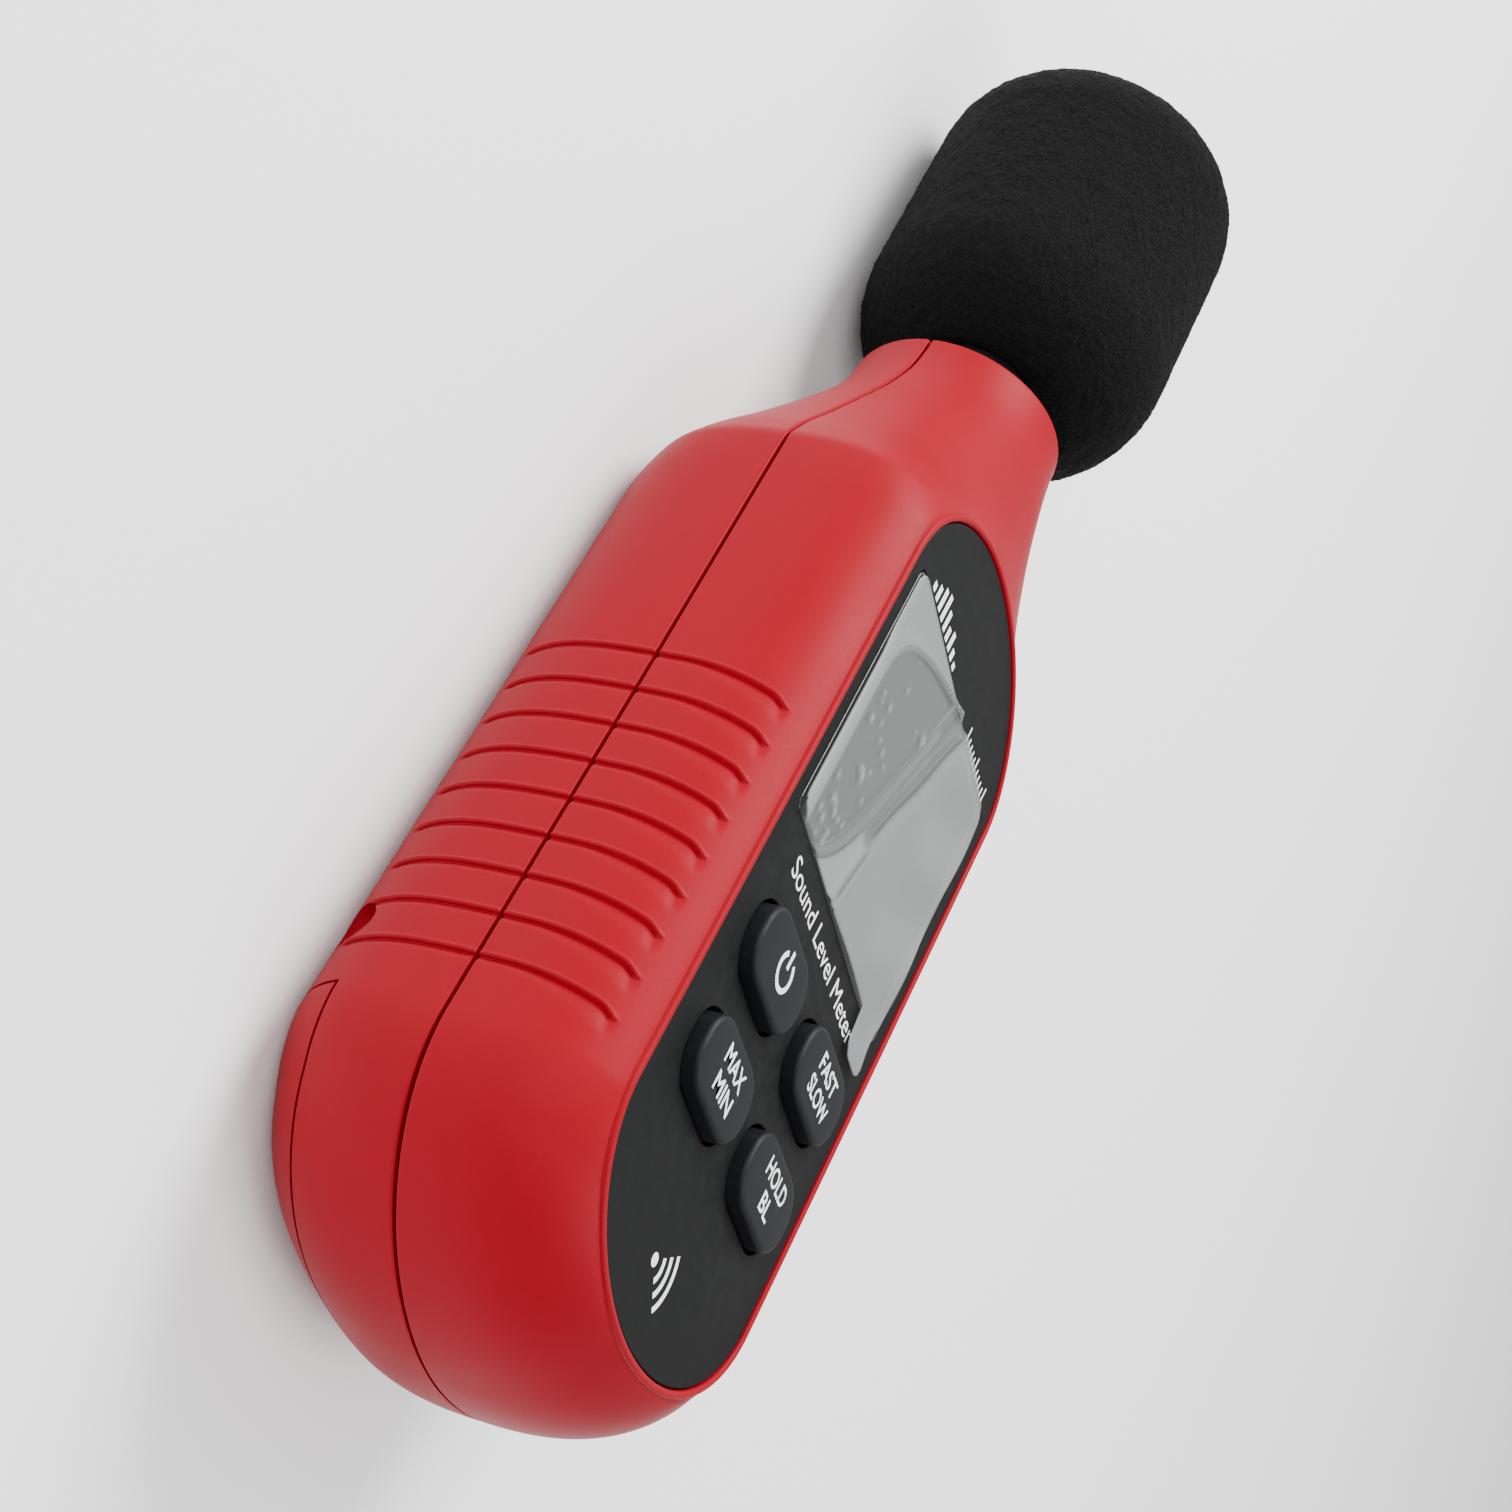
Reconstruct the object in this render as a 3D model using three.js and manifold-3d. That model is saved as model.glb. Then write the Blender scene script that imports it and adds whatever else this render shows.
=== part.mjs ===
// Hand-held sound level meter, lying on its back: front face up (+Z), microphone towards +Y.
// Millimetres. The origin is the middle of the footprint, on the surface the meter lies on.
import * as THREE from 'three';
import { LoftGeometry } from 'three/addons/geometries/LoftGeometry.js';
import { mergeVertices } from 'three/addons/utils/BufferGeometryUtils.js';
import Module from 'manifold-3d';

const wasm = await Module();
wasm.setup();

// ---- driving dimensions: case ----
const caseWidth = 51;
const caseDepth = 31.7;         // resting face to face plate
const caseLength = 116.4;       // bottom tip to the end of the neck
const seamDepth = 14.9;         // face plate down to the parting line
const seamGap = 0.3;
const wall = 2;
const faceWall = 2.4;
const frontCrown = 3.6;         // the section's full arch stands this far over the flat front
const backCrown = 3;
const bottomRound = 18.7;       // length of the rounded bottom end
const shoulderLength = 35;      // start of the shoulders to the end of the neck
const neckRadius = 11.7;
const neckBore = 9.6;
const neckSeat = 8.5;           // length of the bore that holds the microphone bush
const tongueDepth = 1.2;        // tongue of the front shell in the rebate of the rear shell
const tongueWall = 0.7;

// ---- driving dimensions: grip, face plate and window ----
const gripCount = 9;
const gripPitch = 4.21;
const gripWidth = 1.2;
const gripDepth = 0.45;
const gripMargin = 24;          // bottom tip to the lowest groove
const gripFrontStop = 1.6;      // face plate down to the grooves' front ends
const gripBackStop = 3.2;       // height of their back ends
const gripReach = 4.6;          // how far in from the case's side a groove may cut
const plateWidth = 38.46;
const plateLength = 85.86;
const plateMargin = 7.43;       // bottom tip to the plate
const plateBottomArc = 13.05;
const plateTopArc = 13.99;
const plateThickness = 0.8;
const plateGap = 0.15;          // gap round the face plate in its pocket
const lipHeight = 0.3;
const lipWidth = 0.7;
const windowWidth = 35;
const windowLength = 29.2;
const windowRise = 0.3;         // plate centre to the lower edge of the window
const windowLedge = 2;
const windowCorner = 1;
const filmThickness = 0.2;
const filmTabWidth = 5.2;
const filmTabLength = 4.8;
const filmTabCorner = 1.2;
const filmTabInset = 1.3;       // window's side to the tab
const filmTabRoot = 1;          // how far the tab runs into the film

// ---- driving dimensions: keys ----
const keyLength = 12.8;
const keyWidth = 7.4;
const keyBevel = 0.35;
const keyCorner = 3.3;
const keyStand = 1.6;           // key top over the face plate
const keyTravel = 0.8;
const keyGap = 4.02;            // between the keys of a row
const keyRowGap = 4.18;         // between the rows
const keyRowTop = 10.52;        // plate centre down to the upper row
const keyClearance = 0.4;
const keyFlange = 1.2;
const keyFlangeThickness = 1;
const stemLength = 6;
const stemWidth = 4;
const domeRadius = 2.2;
const domeHeight = 0.5;
const domeSkin = 0.2;
const matThickness = 0.8;
const matMargin = 1.5;          // mat past the outer keys
const matSkirt = 1;
const matCorner = 2;

// ---- driving dimensions: inside ----
const boardThickness = 1.6;
const boardDepth = 8;           // face plate down to the component side of the board
const boardHalfWidth = 17.8;
const boardBottomRun = 40;      // plate centre to the board's lower end
const boardTopRun = 35;
const boardCorner = 2;
const cellRadius = 5.25;
const cellLength = 44.5;
const cellNubRadius = 1.9;
const cellNubLength = 0.8;
const cellGap = 0.5;
const cellCount = 3;
const springRadius = 2.4;
const springWire = 0.3;
const springTurns = 3.5;
const springLength = 4;
const contactThickness = 0.4;
const contactTabWidth = 2.4;
const contactTabRise = 2.4;     // tab's end over the roof's underside
const contactTabInset = 1.4;    // bay's side to the middle of the tab
const bayWall = 1.2;
const bayBottomRun = 37.5;      // plate centre to the lower end of the battery bay
const roofThickness = 1;
const tabSlotWidth = 3.4;
const tabSlotDepth = 1.4;
const doorRun = 14.3;           // plate centre up to the door's upper edge
const doorHalfWidth = 18.6;
const doorSkirtHeight = 5.5;    // height of the door's rounded lower end
const doorSkirtRun = 31;        // plate centre to where the door widens
const latchHalfWidth = 6;
const latchLength = 2.8;
const latchThickness = 1;
const latchRoot = 4;
const screwRadius = 1.1;
const screwHeadRadius = 2;
const screwHeadHeight = 1.6;
const screwSeat = 7;            // height of the case screws' seats over the resting face
const screwLength = 17;
const screwCrossWidth = 0.5;
const screwCrossDepth = 0.7;
const bossRadius = 2.6;
const bossInWall = 0.4;         // how far the lower bosses merge into the side wall
const lowerBossRun = 24;        // plate centre down to the lower bosses
const upperBossRun = 38.5;      // and up to the upper ones
const upperBossX = 18;
const boardScrewRadius = 0.9;
const boardScrewHeadRadius = 1.7;
const boardScrewLength = 6;
const boardScrewHeadHeight = 1;
const boardScrewX = 14.6;
const boardScrewInset = 2.8;    // board's lower end to the lower screws
const boardScrewTopInset = 2.4;
const boardPostRadius = 2;

// ---- driving dimensions: microphone and windscreen ----
const axisDrop = 14.45;         // face plate down to the microphone's axis
const tubeRadius = 6.35;
const tubeWall = 0.75;
const tubeInside = 12;          // length of the tube inside the case
const tubeReach = 34.5;         // neck end to the tube's end
const capLength = 5;
const capsuleRadius = 4.85;
const capsuleLength = 5;
const bushCollar = 2.4;         // length of the bush that shows outside the neck
const bushStep = 0.9;           // the collar is thinner than the seat by this
const bushChamfer = 0.6;
const capEdge = 0.8;            // wall and bevel of the cap's end
const capSlotSpread = 2.4;
const capSlotWidth = 1.2;
const capSlotLength = 7.2;
const capsuleRecess = 1;        // tube's end down to the capsule
const sleeveGap = 0.15;
const leadRadius = 0.5;
const leadSpread = 1.6;         // microphone leads either side of the axis at the capsule
const leadBoardSpread = 3;      // and at the board
const foamRadius = 17.22;
const foamGap = 5.6;            // neck end to the windscreen's flat base
const foamLength = 44.9;
const foamBaseRadius = 10.2;
const foamBottomRound = 15;
const foamTopRound = 12.5;
const foamBottomPower = 2.12;   // exponents of the rounded ends
const foamTopPower = 2.14;
const foamOffset = 2.9;         // the soft windscreen sits a little off the tube's axis
const foamLean = 2.2;           // and leans by this angle in degrees
const foamBoreGap = 0.3;

// ---- clearances ----
const slip = 0.3;               // between pieces that go into one another
const rest = 0.1;               // between stacked faces
const past = 1;                 // how far a cutting solid passes the face it cuts

// ---- smoothness ----
const roundSides = 24;
const boreSides = 32;
const smallSides = 12;

// ---- places ----
const keySpread = (keyLength + keyGap) / 2;
const keyRowBottom = keyRowTop + keyWidth + keyRowGap;
const overallLength = caseLength + foamGap + foamLength;
const bottomY = -overallLength / 2;
const neckY = bottomY + caseLength;
const shoulderY = neckY - shoulderLength;
const roundY = bottomY + bottomRound;
const plateY = bottomY + plateMargin + plateLength / 2;
const halfWidth = caseWidth / 2;
const faceZ = caseDepth;
const seamZ = faceZ - seamDepth;
const axisZ = faceZ - axisDrop;
const faceInnerZ = faceZ - faceWall;
const plateBedZ = faceZ - plateThickness - rest;
const boardTopZ = faceZ - boardDepth;
const boardUnderZ = boardTopZ - boardThickness;
const windowY = plateY + windowRise + windowLength / 2;
const doorTopY = plateY + doorRun;
const latchZ = wall + rest;
const cellZ = latchZ + latchThickness + slip + cellRadius;
const cellPitch = 2 * cellRadius + cellGap;
const bayHalfWidth = cellCount * cellPitch / 2 + slip;
const bayBottomY = plateY - bayBottomRun;
const bayLength = cellLength + springLength + 2 * contactThickness + 3 * slip;
const bayTopY = bayBottomY + bayLength;
const roofZ = cellZ + cellRadius + slip;
const foamY = neckY + foamGap;
const tubeEndY = neckY + tubeReach;
const far = 2 * overallLength;

// ---- geometry helpers ----
const weld = 1e-4;

function solidOf(geometry) {
  const bare = new THREE.BufferGeometry();
  bare.setAttribute('position', geometry.getAttribute('position'));
  bare.setIndex(geometry.index);
  const merged = mergeVertices(bare, weld);
  const corners = merged.index.array;
  const triVerts = [];
  for (let i = 0; i < corners.length; i += 3) {
    const [a, b, c] = corners.slice(i, i + 3);
    if (a !== b && b !== c && c !== a) triVerts.push(a, b, c);
  }
  const vertProperties = new Float32Array(merged.attributes.position.array);
  const mesh = new wasm.Mesh({ numProp: 3, vertProperties, triVerts: new Uint32Array(triVerts) });
  return new wasm.Manifold(mesh);
}

function geometryOf(solid) {
  const mesh = solid.getMesh();
  const geometry = new THREE.BufferGeometry();
  geometry.setAttribute('position', new THREE.BufferAttribute(new Float32Array(mesh.vertProperties), 3));
  geometry.setIndex(new THREE.BufferAttribute(new Uint32Array(mesh.triVerts), 1));
  return geometry;
}

function joined(solids) {
  return solids.reduce((sum, next) => sum.add(next));
}

// Box between two corners.
function block(x0, x1, y0, y1, z0, z1) {
  const geometry = new THREE.BoxGeometry(x1 - x0, y1 - y0, z1 - z0);
  geometry.translate((x0 + x1) / 2, (y0 + y1) / 2, (z0 + z1) / 2);
  return solidOf(geometry);
}

// Round post along Z.
function post(radius, x, y, z0, z1, segments = 14) {
  const geometry = new THREE.CylinderGeometry(radius, radius, z1 - z0, segments);
  geometry.rotateX(Math.PI / 2);
  geometry.translate(x, y, (z0 + z1) / 2);
  return solidOf(geometry);
}

// Round rod along Y.
function rod(radius, x, z, y0, y1, segments = roundSides) {
  const geometry = new THREE.CylinderGeometry(radius, radius, y1 - y0, segments);
  geometry.translate(x, (y0 + y1) / 2, z);
  return solidOf(geometry);
}

// Flat shape raised from z0 to z1.
function slab(shape, x, y, z0, z1, bevel = 0, curveSegments = 8) {
  const options = { depth: z1 - z0 - 2 * bevel, curveSegments, bevelEnabled: bevel > 0 };
  if (bevel > 0) {
    options.bevelSize = bevel;
    options.bevelThickness = bevel;
    options.bevelOffset = -bevel;
    options.bevelSegments = 1;
  }
  const geometry = new THREE.ExtrudeGeometry(shape, options);
  geometry.translate(x, y, z0 + bevel);
  return solidOf(geometry.index ? geometry : mergeVertices(geometry));
}

function roundedRectangle(width, length, corner) {
  const x = width / 2;
  const y = length / 2;
  const shape = new THREE.Shape();
  shape.moveTo(-x + corner, -y);
  shape.lineTo(x - corner, -y);
  shape.absarc(x - corner, -y + corner, corner, -Math.PI / 2, 0);
  shape.lineTo(x, y - corner);
  shape.absarc(x - corner, y - corner, corner, 0, Math.PI / 2);
  shape.lineTo(-x + corner, y);
  shape.absarc(-x + corner, y - corner, corner, Math.PI / 2, Math.PI);
  shape.lineTo(-x, -y + corner);
  shape.absarc(-x + corner, -y + corner, corner, Math.PI, 1.5 * Math.PI);
  return shape;
}

// Turned piece about the microphone's axis: profile points are [radius, y], bottom to top.
function turned(profile) {
  const points = profile.map(([radius, y]) => new THREE.Vector2(radius, y));
  const geometry = new THREE.LatheGeometry(points, roundSides);
  geometry.translate(0, 0, axisZ);
  return solidOf(geometry);
}

function tube(points, radius, steps, sides = 8) {
  const path = new THREE.CatmullRomCurve3(points.map((p) => new THREE.Vector3(...p)));
  const section = new THREE.Shape();
  section.absarc(0, 0, radius, 0, 2 * Math.PI);
  const options = { extrudePath: path, steps, curveSegments: sides / 2, bevelEnabled: false };
  return solidOf(mergeVertices(new THREE.ExtrudeGeometry(section, options)));
}

// Smooth curve through [place, value] knots, flat at both ends.
function curveThrough(knots) {
  const secant = (i) => (knots[i + 1][1] - knots[i][1]) / (knots[i + 1][0] - knots[i][0]);
  const slopes = knots.map((knot, i) => {
    if (i === 0 || i === knots.length - 1) return 0;
    const before = secant(i - 1);
    const after = secant(i);
    return before * after > 0 ? (2 * before * after) / (before + after) : 0;
  });
  return (place) => {
    let i = 0;
    while (i < knots.length - 2 && place > knots[i + 1][0]) i += 1;
    const span = knots[i + 1][0] - knots[i][0];
    const t = THREE.MathUtils.clamp((place - knots[i][0]) / span, 0, 1);
    const ease = t * t * (3 - 2 * t);
    const slopeIn = slopes[i] * span * t * (1 - t) * (1 - t);
    const slopeOut = slopes[i + 1] * span * t * t * (t - 1);
    return knots[i][1] + (knots[i + 1][1] - knots[i][1]) * ease + slopeIn + slopeOut;
  };
}

// ---- case form ----
// Each fade runs from 1, the full body, to 0, the neck, over the shoulder's length.
const widthFade = curveThrough([[0, 1], [0.13, 0.997], [0.2, 0.93], [0.366, 0.688],
  [0.534, 0.449], [0.743, 0.17], [0.886, 0.036], [1, 0]]);
const frontFade = curveThrough([[0, 1], [0.2, 0.73], [0.36, 0.437], [0.543, 0.238], [0.771, 0.095], [1, 0]]);
const backFade = curveThrough([[0, 1], [0.2, 0.845], [0.36, 0.59], [0.543, 0.338], [0.771, 0.113], [1, 0]]);
const squareFade = curveThrough([[0, 1], [0.26, 0.7], [0.543, 0.35], [0.83, 0.05], [1, 0]]);
const bodyPower = 3;            // section exponent: 2 is an ellipse, more is squarer
const bottomPower = 2.6;
const neckPower = 2;
const planPower = 1.96;         // exponents of the rounded bottom end
const heightPower = 2.2;

function fade(from, to, share) {
  return to + (from - to) * share;
}

function caseSection(y, inset) {
  const end = THREE.MathUtils.clamp((roundY - y) / (bottomRound - inset), 0, 1);
  const rise = THREE.MathUtils.clamp((y - shoulderY) / shoulderLength, 0, 1);
  const endWidth = Math.pow(1 - Math.pow(end, planPower), 1 / planPower);
  const endHeight = Math.pow(1 - Math.pow(end, heightPower), 1 / heightPower);
  const axisLift = axisZ - seamZ;
  return {
    width: (fade(halfWidth, neckRadius, widthFade(rise)) - inset) * endWidth,
    front: (fade(seamDepth + frontCrown, neckRadius + axisLift, frontFade(rise)) - inset) * endHeight,
    back: (fade(seamZ + backCrown, neckRadius - axisLift, backFade(rise)) - inset) * endHeight,
    power: fade(bodyPower, neckPower, squareFade(rise)) + (bottomPower - bodyPower) * Math.min(1, 3 * end),
  };
}

const sectionPoints = 32;
const bottomStations = 7;
const shoulderStations = 10;

// Lofted case form, drawn in by an inset and ended at endY.
function caseForm(inset, endY) {
  const stations = [];
  for (let i = bottomStations; i >= 0; i -= 1) {
    stations.push(roundY - (bottomRound - inset) * Math.sin((Math.PI / 2) * (i / bottomStations)));
  }
  for (let i = 0; i <= shoulderStations; i += 1) {
    stations.push(shoulderY + (endY - shoulderY) * (i / shoulderStations));
  }
  const sections = stations.map((y) => {
    const { width, front, back, power } = caseSection(y, inset);
    const points = [];
    for (let i = 0; i < sectionPoints; i += 1) {
      const angle = 2 * Math.PI * (i / sectionPoints);
      const across = Math.sign(Math.cos(angle)) * Math.pow(Math.abs(Math.cos(angle)), 2 / power);
      const up = Math.sign(Math.sin(angle)) * Math.pow(Math.abs(Math.sin(angle)), 2 / power);
      points.push(new THREE.Vector3(-width * across, y, seamZ + (up > 0 ? front : back) * up));
    }
    return points;
  });
  return solidOf(new LoftGeometry(sections, { capEnd: true }));
}

function layer(z0, z1) {
  return block(-far, far, -far, far, z0, z1);
}

const bodySolid = caseForm(0, neckY).intersect(layer(0, faceZ));
const cavityForm = caseForm(wall, neckY - neckSeat).intersect(layer(wall, faceInnerZ));
const boreCut = rod(neckBore, 0, axisZ, neckY - neckSeat - past, neckY + past, boreSides);
const hollowBody = bodySolid.subtract(cavityForm).subtract(boreCut);
const insideForm = caseForm(wall / 2, neckY - neckSeat).intersect(layer(wall / 2, faceZ - faceWall / 2));
const bayForm = caseForm(wall + slip, neckY - neckSeat).intersect(layer(wall + slip, seamZ));
const contactForm = caseForm(wall + 2 * slip, neckY - neckSeat);

// ---- face plate outline ----
function plateShape(grow) {
  const x = plateWidth / 2 + grow;
  const top = plateLength / 2 - plateTopArc;
  const bottom = -plateLength / 2 + plateBottomArc;
  const shape = new THREE.Shape();
  shape.moveTo(x, bottom);
  shape.lineTo(x, top);
  shape.absellipse(0, top, x, plateTopArc + grow, 0, Math.PI);
  shape.lineTo(-x, bottom);
  shape.absellipse(0, bottom, x, plateBottomArc + grow, Math.PI, 2 * Math.PI);
  return shape;
}

const keys = [
  { name: 'power_key', x: -keySpread, y: plateY - keyRowTop },
  { name: 'fast_slow_key', x: keySpread, y: plateY - keyRowTop },
  { name: 'max_min_key', x: -keySpread, y: plateY - keyRowBottom },
  { name: 'hold_key', x: keySpread, y: plateY - keyRowBottom },
];

function keyShape(grow) {
  return roundedRectangle(keyLength + 2 * grow, keyWidth + 2 * grow, keyCorner + grow);
}

function keyHoles(z0, z1) {
  return joined(keys.map(({ x, y }) => slab(keyShape(keyClearance), x, y, z0, z1, 0, 2)));
}

// ---- screw places ----
const lowerBossX = halfWidth - wall - bossRadius + bossInWall;
const lowerBossY = plateY - lowerBossRun;
const upperBossY = plateY + upperBossRun;
const caseScrews = [
  [-lowerBossX, lowerBossY],
  [lowerBossX, lowerBossY],
  [-upperBossX, upperBossY],
  [upperBossX, upperBossY],
];
const boardScrewLowY = plateY - boardBottomRun + boardScrewInset;
const boardScrewHighY = plateY + boardTopRun - boardScrewTopInset;
const boardScrews = [
  [-boardScrewX, boardScrewLowY],
  [boardScrewX, boardScrewLowY],
  [-boardScrewX, boardScrewHighY],
  [boardScrewX, boardScrewHighY],
];
const pilotGap = 0.15;
const headGap = 0.2;
const postRadius = screwHeadRadius + headGap + 1;

// ---- shells ----
function gripCuts() {
  const skin = caseForm(-past, neckY).subtract(caseForm(gripDepth, neckY));
  const lowestY = bottomY + gripMargin;
  const frontEndZ = faceZ - gripFrontStop;
  const sideX = halfWidth - gripReach;
  const cuts = [];
  for (let i = 0; i < gripCount; i += 1) {
    const y = lowestY + i * gripPitch;
    cuts.push(block(sideX, far, y - gripWidth / 2, y + gripWidth / 2, gripBackStop, frontEndZ));
    cuts.push(block(-far, -sideX, y - gripWidth / 2, y + gripWidth / 2, gripBackStop, frontEndZ));
  }
  return joined(cuts).intersect(skin);
}

const gripCut = gripCuts();

function frontShell() {
  const pocket = slab(plateShape(plateGap), 0, plateY, plateBedZ, faceZ + past);
  const lipShape = plateShape(plateGap + lipWidth);
  const lip = slab(lipShape, 0, plateY, faceZ - 2 * lipHeight, faceZ + lipHeight);
  const half = hollowBody.add(lip).intersect(layer(seamZ + seamGap / 2, far));
  const tongueOuter = caseForm(wall - tongueWall, neckY - neckSeat);
  const tongueInner = caseForm(wall, neckY - neckSeat + past);
  const tongueBottom = seamZ - tongueDepth;
  const tongue = tongueOuter
    .subtract(tongueInner)
    .intersect(layer(tongueBottom, seamZ + 2 * seamGap))
    .subtract(boreCut);
  const postTopZ = faceInnerZ + past;
  const bosses = caseScrews.map(([x, y]) => post(bossRadius, x, y, seamZ + seamGap / 2, postTopZ));
  const boardPosts = boardScrews.map(([x, y]) => post(boardPostRadius, x, y, boardTopZ + rest, postTopZ));
  const supports = joined([...bosses, ...boardPosts]).intersect(insideForm);
  const openingWidth = windowWidth - 2 * windowLedge;
  const opening = roundedRectangle(openingWidth, windowLength - 2 * windowLedge, windowCorner);
  const casePilotZ = screwSeat + screwLength + slip;
  const boardPilotZ = boardUnderZ + boardScrewLength + slip;
  const pilots = joined([
    ...caseScrews.map(([x, y]) => post(screwRadius + pilotGap, x, y, 0, casePilotZ, smallSides)),
    ...boardScrews.map(([x, y]) => post(boardScrewRadius + pilotGap, x, y, 0, boardPilotZ, smallSides)),
  ]);
  return joined([half, tongue, supports])
    .subtract(pocket)
    .subtract(slab(opening, 0, windowY, faceInnerZ - past, faceZ, 0, 2))
    .subtract(keyHoles(faceInnerZ - past, faceZ))
    .subtract(pilots)
    .subtract(gripCut);
}

function doorSpace(clearance) {
  const narrow = block(-doorHalfWidth - clearance, doorHalfWidth + clearance,
    -far, doorTopY + clearance, -past, wall * 2 + clearance);
  const wideTopY = plateY - doorSkirtRun + clearance;
  const wide = block(-far, far, -far, wideTopY, -past, doorSkirtHeight + clearance);
  return narrow.add(wide);
}

const latchTopY = doorTopY + latchLength;

function rearShell() {
  const half = hollowBody.intersect(layer(0, seamZ - seamGap / 2));
  const rebate = caseForm(wall - tongueWall - slip, neckY - neckSeat + slip)
    .subtract(caseForm(wall + slip, neckY - neckSeat + past))
    .intersect(layer(seamZ - tongueDepth - slip, seamZ));
  const postTopZ = seamZ - seamGap / 2;
  const posts = caseScrews.map(([x, y]) => post(postRadius, x, y, wall, postTopZ));
  const seats = caseScrews.map(([x, y]) => post(screwHeadRadius + headGap, x, y, -past, screwSeat));
  const holes = caseScrews.map(([x, y]) => (
    post(screwRadius + headGap, x, y, -past, seamZ + past, smallSides)));
  const bayLowY = bayBottomY - bayWall;
  const bayHighY = bayTopY + bayWall;
  const roof = block(-far, far, bayLowY, bayHighY, roofZ, roofZ + roofThickness).intersect(insideForm);
  const bayOuter = block(-bayHalfWidth - bayWall, bayHalfWidth + bayWall,
    bayLowY, bayHighY, 0, roofZ + roofThickness / 2);
  const bayInner = block(-bayHalfWidth, bayHalfWidth, bayBottomY, bayTopY, -past, roofZ);
  const latchSlot = block(-latchHalfWidth - slip, latchHalfWidth + slip,
    bayTopY - past, bayTopY + 2 * bayWall, 0, latchZ + latchThickness + slip);
  const slotLowZ = roofZ - past;
  const slotHighZ = roofZ + roofThickness + past;
  const tabSlots = block(-bayHalfWidth, -bayHalfWidth + tabSlotWidth,
    bayTopY - tabSlotDepth, bayTopY, slotLowZ, slotHighZ)
    .add(block(bayHalfWidth - tabSlotWidth, bayHalfWidth,
      bayBottomY, bayBottomY + tabSlotDepth, slotLowZ, slotHighZ));
  const bay = bayOuter.subtract(bayInner).subtract(latchSlot).intersect(bayForm);
  const supports = joined(posts).intersect(insideForm);
  return joined([half, supports])
    .subtract(doorSpace(slip))
    .add(roof)
    .add(bay)
    .subtract(rebate)
    .subtract(joined(seats))
    .subtract(joined(holes))
    .subtract(tabSlots)
    .subtract(gripCut);
}

function batteryDoor() {
  const panel = hollowBody.intersect(doorSpace(0));
  const rootY = doorTopY - latchRoot;
  const latchHighZ = latchZ + latchThickness;
  const latch = block(-latchHalfWidth, latchHalfWidth, rootY, latchTopY, latchZ, latchHighZ);
  const root = block(-latchHalfWidth, latchHalfWidth, rootY, doorTopY, wall / 2, latchHighZ);
  return panel.add(latch).add(root);
}

// ---- face ----
function facePlate() {
  const windowCut = slab(roundedRectangle(windowWidth, windowLength, windowCorner), 0, windowY, 0, far, 0, 2);
  return slab(plateShape(0), 0, plateY, faceZ - plateThickness, faceZ)
    .subtract(windowCut)
    .subtract(keyHoles(0, far));
}

function displayWindow() {
  const shape = roundedRectangle(windowWidth - 2 * rest, windowLength - 2 * rest, windowCorner);
  return slab(shape, 0, windowY, faceZ - plateThickness, faceZ, 0, 2);
}

function protectiveFilm() {
  const z0 = faceZ + rest;
  const z1 = z0 + filmThickness;
  const sheetShape = roundedRectangle(windowWidth - 2 * rest, windowLength - 2 * rest, windowCorner);
  const sheet = slab(sheetShape, 0, windowY, z0, z1, 0, 2);
  const tabX = windowWidth / 2 - filmTabWidth / 2 - filmTabInset;
  const tabY = windowY - windowLength / 2 - filmTabLength / 2 + filmTabRoot;
  const tabShape = roundedRectangle(filmTabWidth, filmTabLength + 2 * filmTabRoot, filmTabCorner);
  const tab = slab(tabShape, tabX, tabY, z0, z1, 0, 2);
  return sheet.add(tab);
}

// ---- display stack ----
const frameTopZ = faceInnerZ - rest;
const frameSill = 0.6;
const frameWall = 0.9;
const frameWidth = 2 * boardHalfWidth - 0.4;
const frameLength = windowLength + 1;
const glassTopZ = frameTopZ - frameSill - rest;
const glassThickness = 1.8;
const backlightThickness = 1.9;
const zebraWidth = 2;

function displayFrame() {
  const outer = block(-frameWidth / 2, frameWidth / 2,
    windowY - frameLength / 2, windowY + frameLength / 2, boardTopZ + rest, frameTopZ);
  const pocketX = frameWidth / 2 - frameWall;
  const pocketY = frameLength / 2 - frameWall;
  const pocket = block(-pocketX, pocketX, windowY - pocketY, windowY + pocketY, 0, frameTopZ - frameSill);
  const view = block(-windowWidth / 2 + windowLedge, windowWidth / 2 - windowLedge,
    windowY - windowLength / 2 + windowLedge, windowY + windowLength / 2 - windowLedge, 0, far);
  return outer.subtract(pocket).subtract(view);
}

const stackX = frameWidth / 2 - frameWall - 0.2;
const stackY = frameLength / 2 - frameWall - 0.2;
const glassUnderZ = glassTopZ - glassThickness;
const backlightTopZ = glassUnderZ - rest;

function displayGlass() {
  return block(-stackX, stackX, windowY - stackY, windowY + stackY, glassUnderZ, glassTopZ);
}

function backlight() {
  return block(-stackX, stackX, windowY - stackY + zebraWidth + slip, windowY + stackY,
    backlightTopZ - backlightThickness, backlightTopZ);
}

function zebraStrip() {
  return block(-stackX + 1, stackX - 1, windowY - stackY, windowY - stackY + zebraWidth,
    boardTopZ + rest, glassUnderZ - rest);
}

// ---- keys ----
const domeTopZ = boardTopZ + rest + domeHeight;
const stemBottomZ = domeTopZ + keyTravel + rest;
const flangeTopZ = faceInnerZ - slip;
const flangeUnderZ = flangeTopZ - keyFlangeThickness;
const matTopZ = flangeUnderZ - keyTravel - slip;

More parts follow.
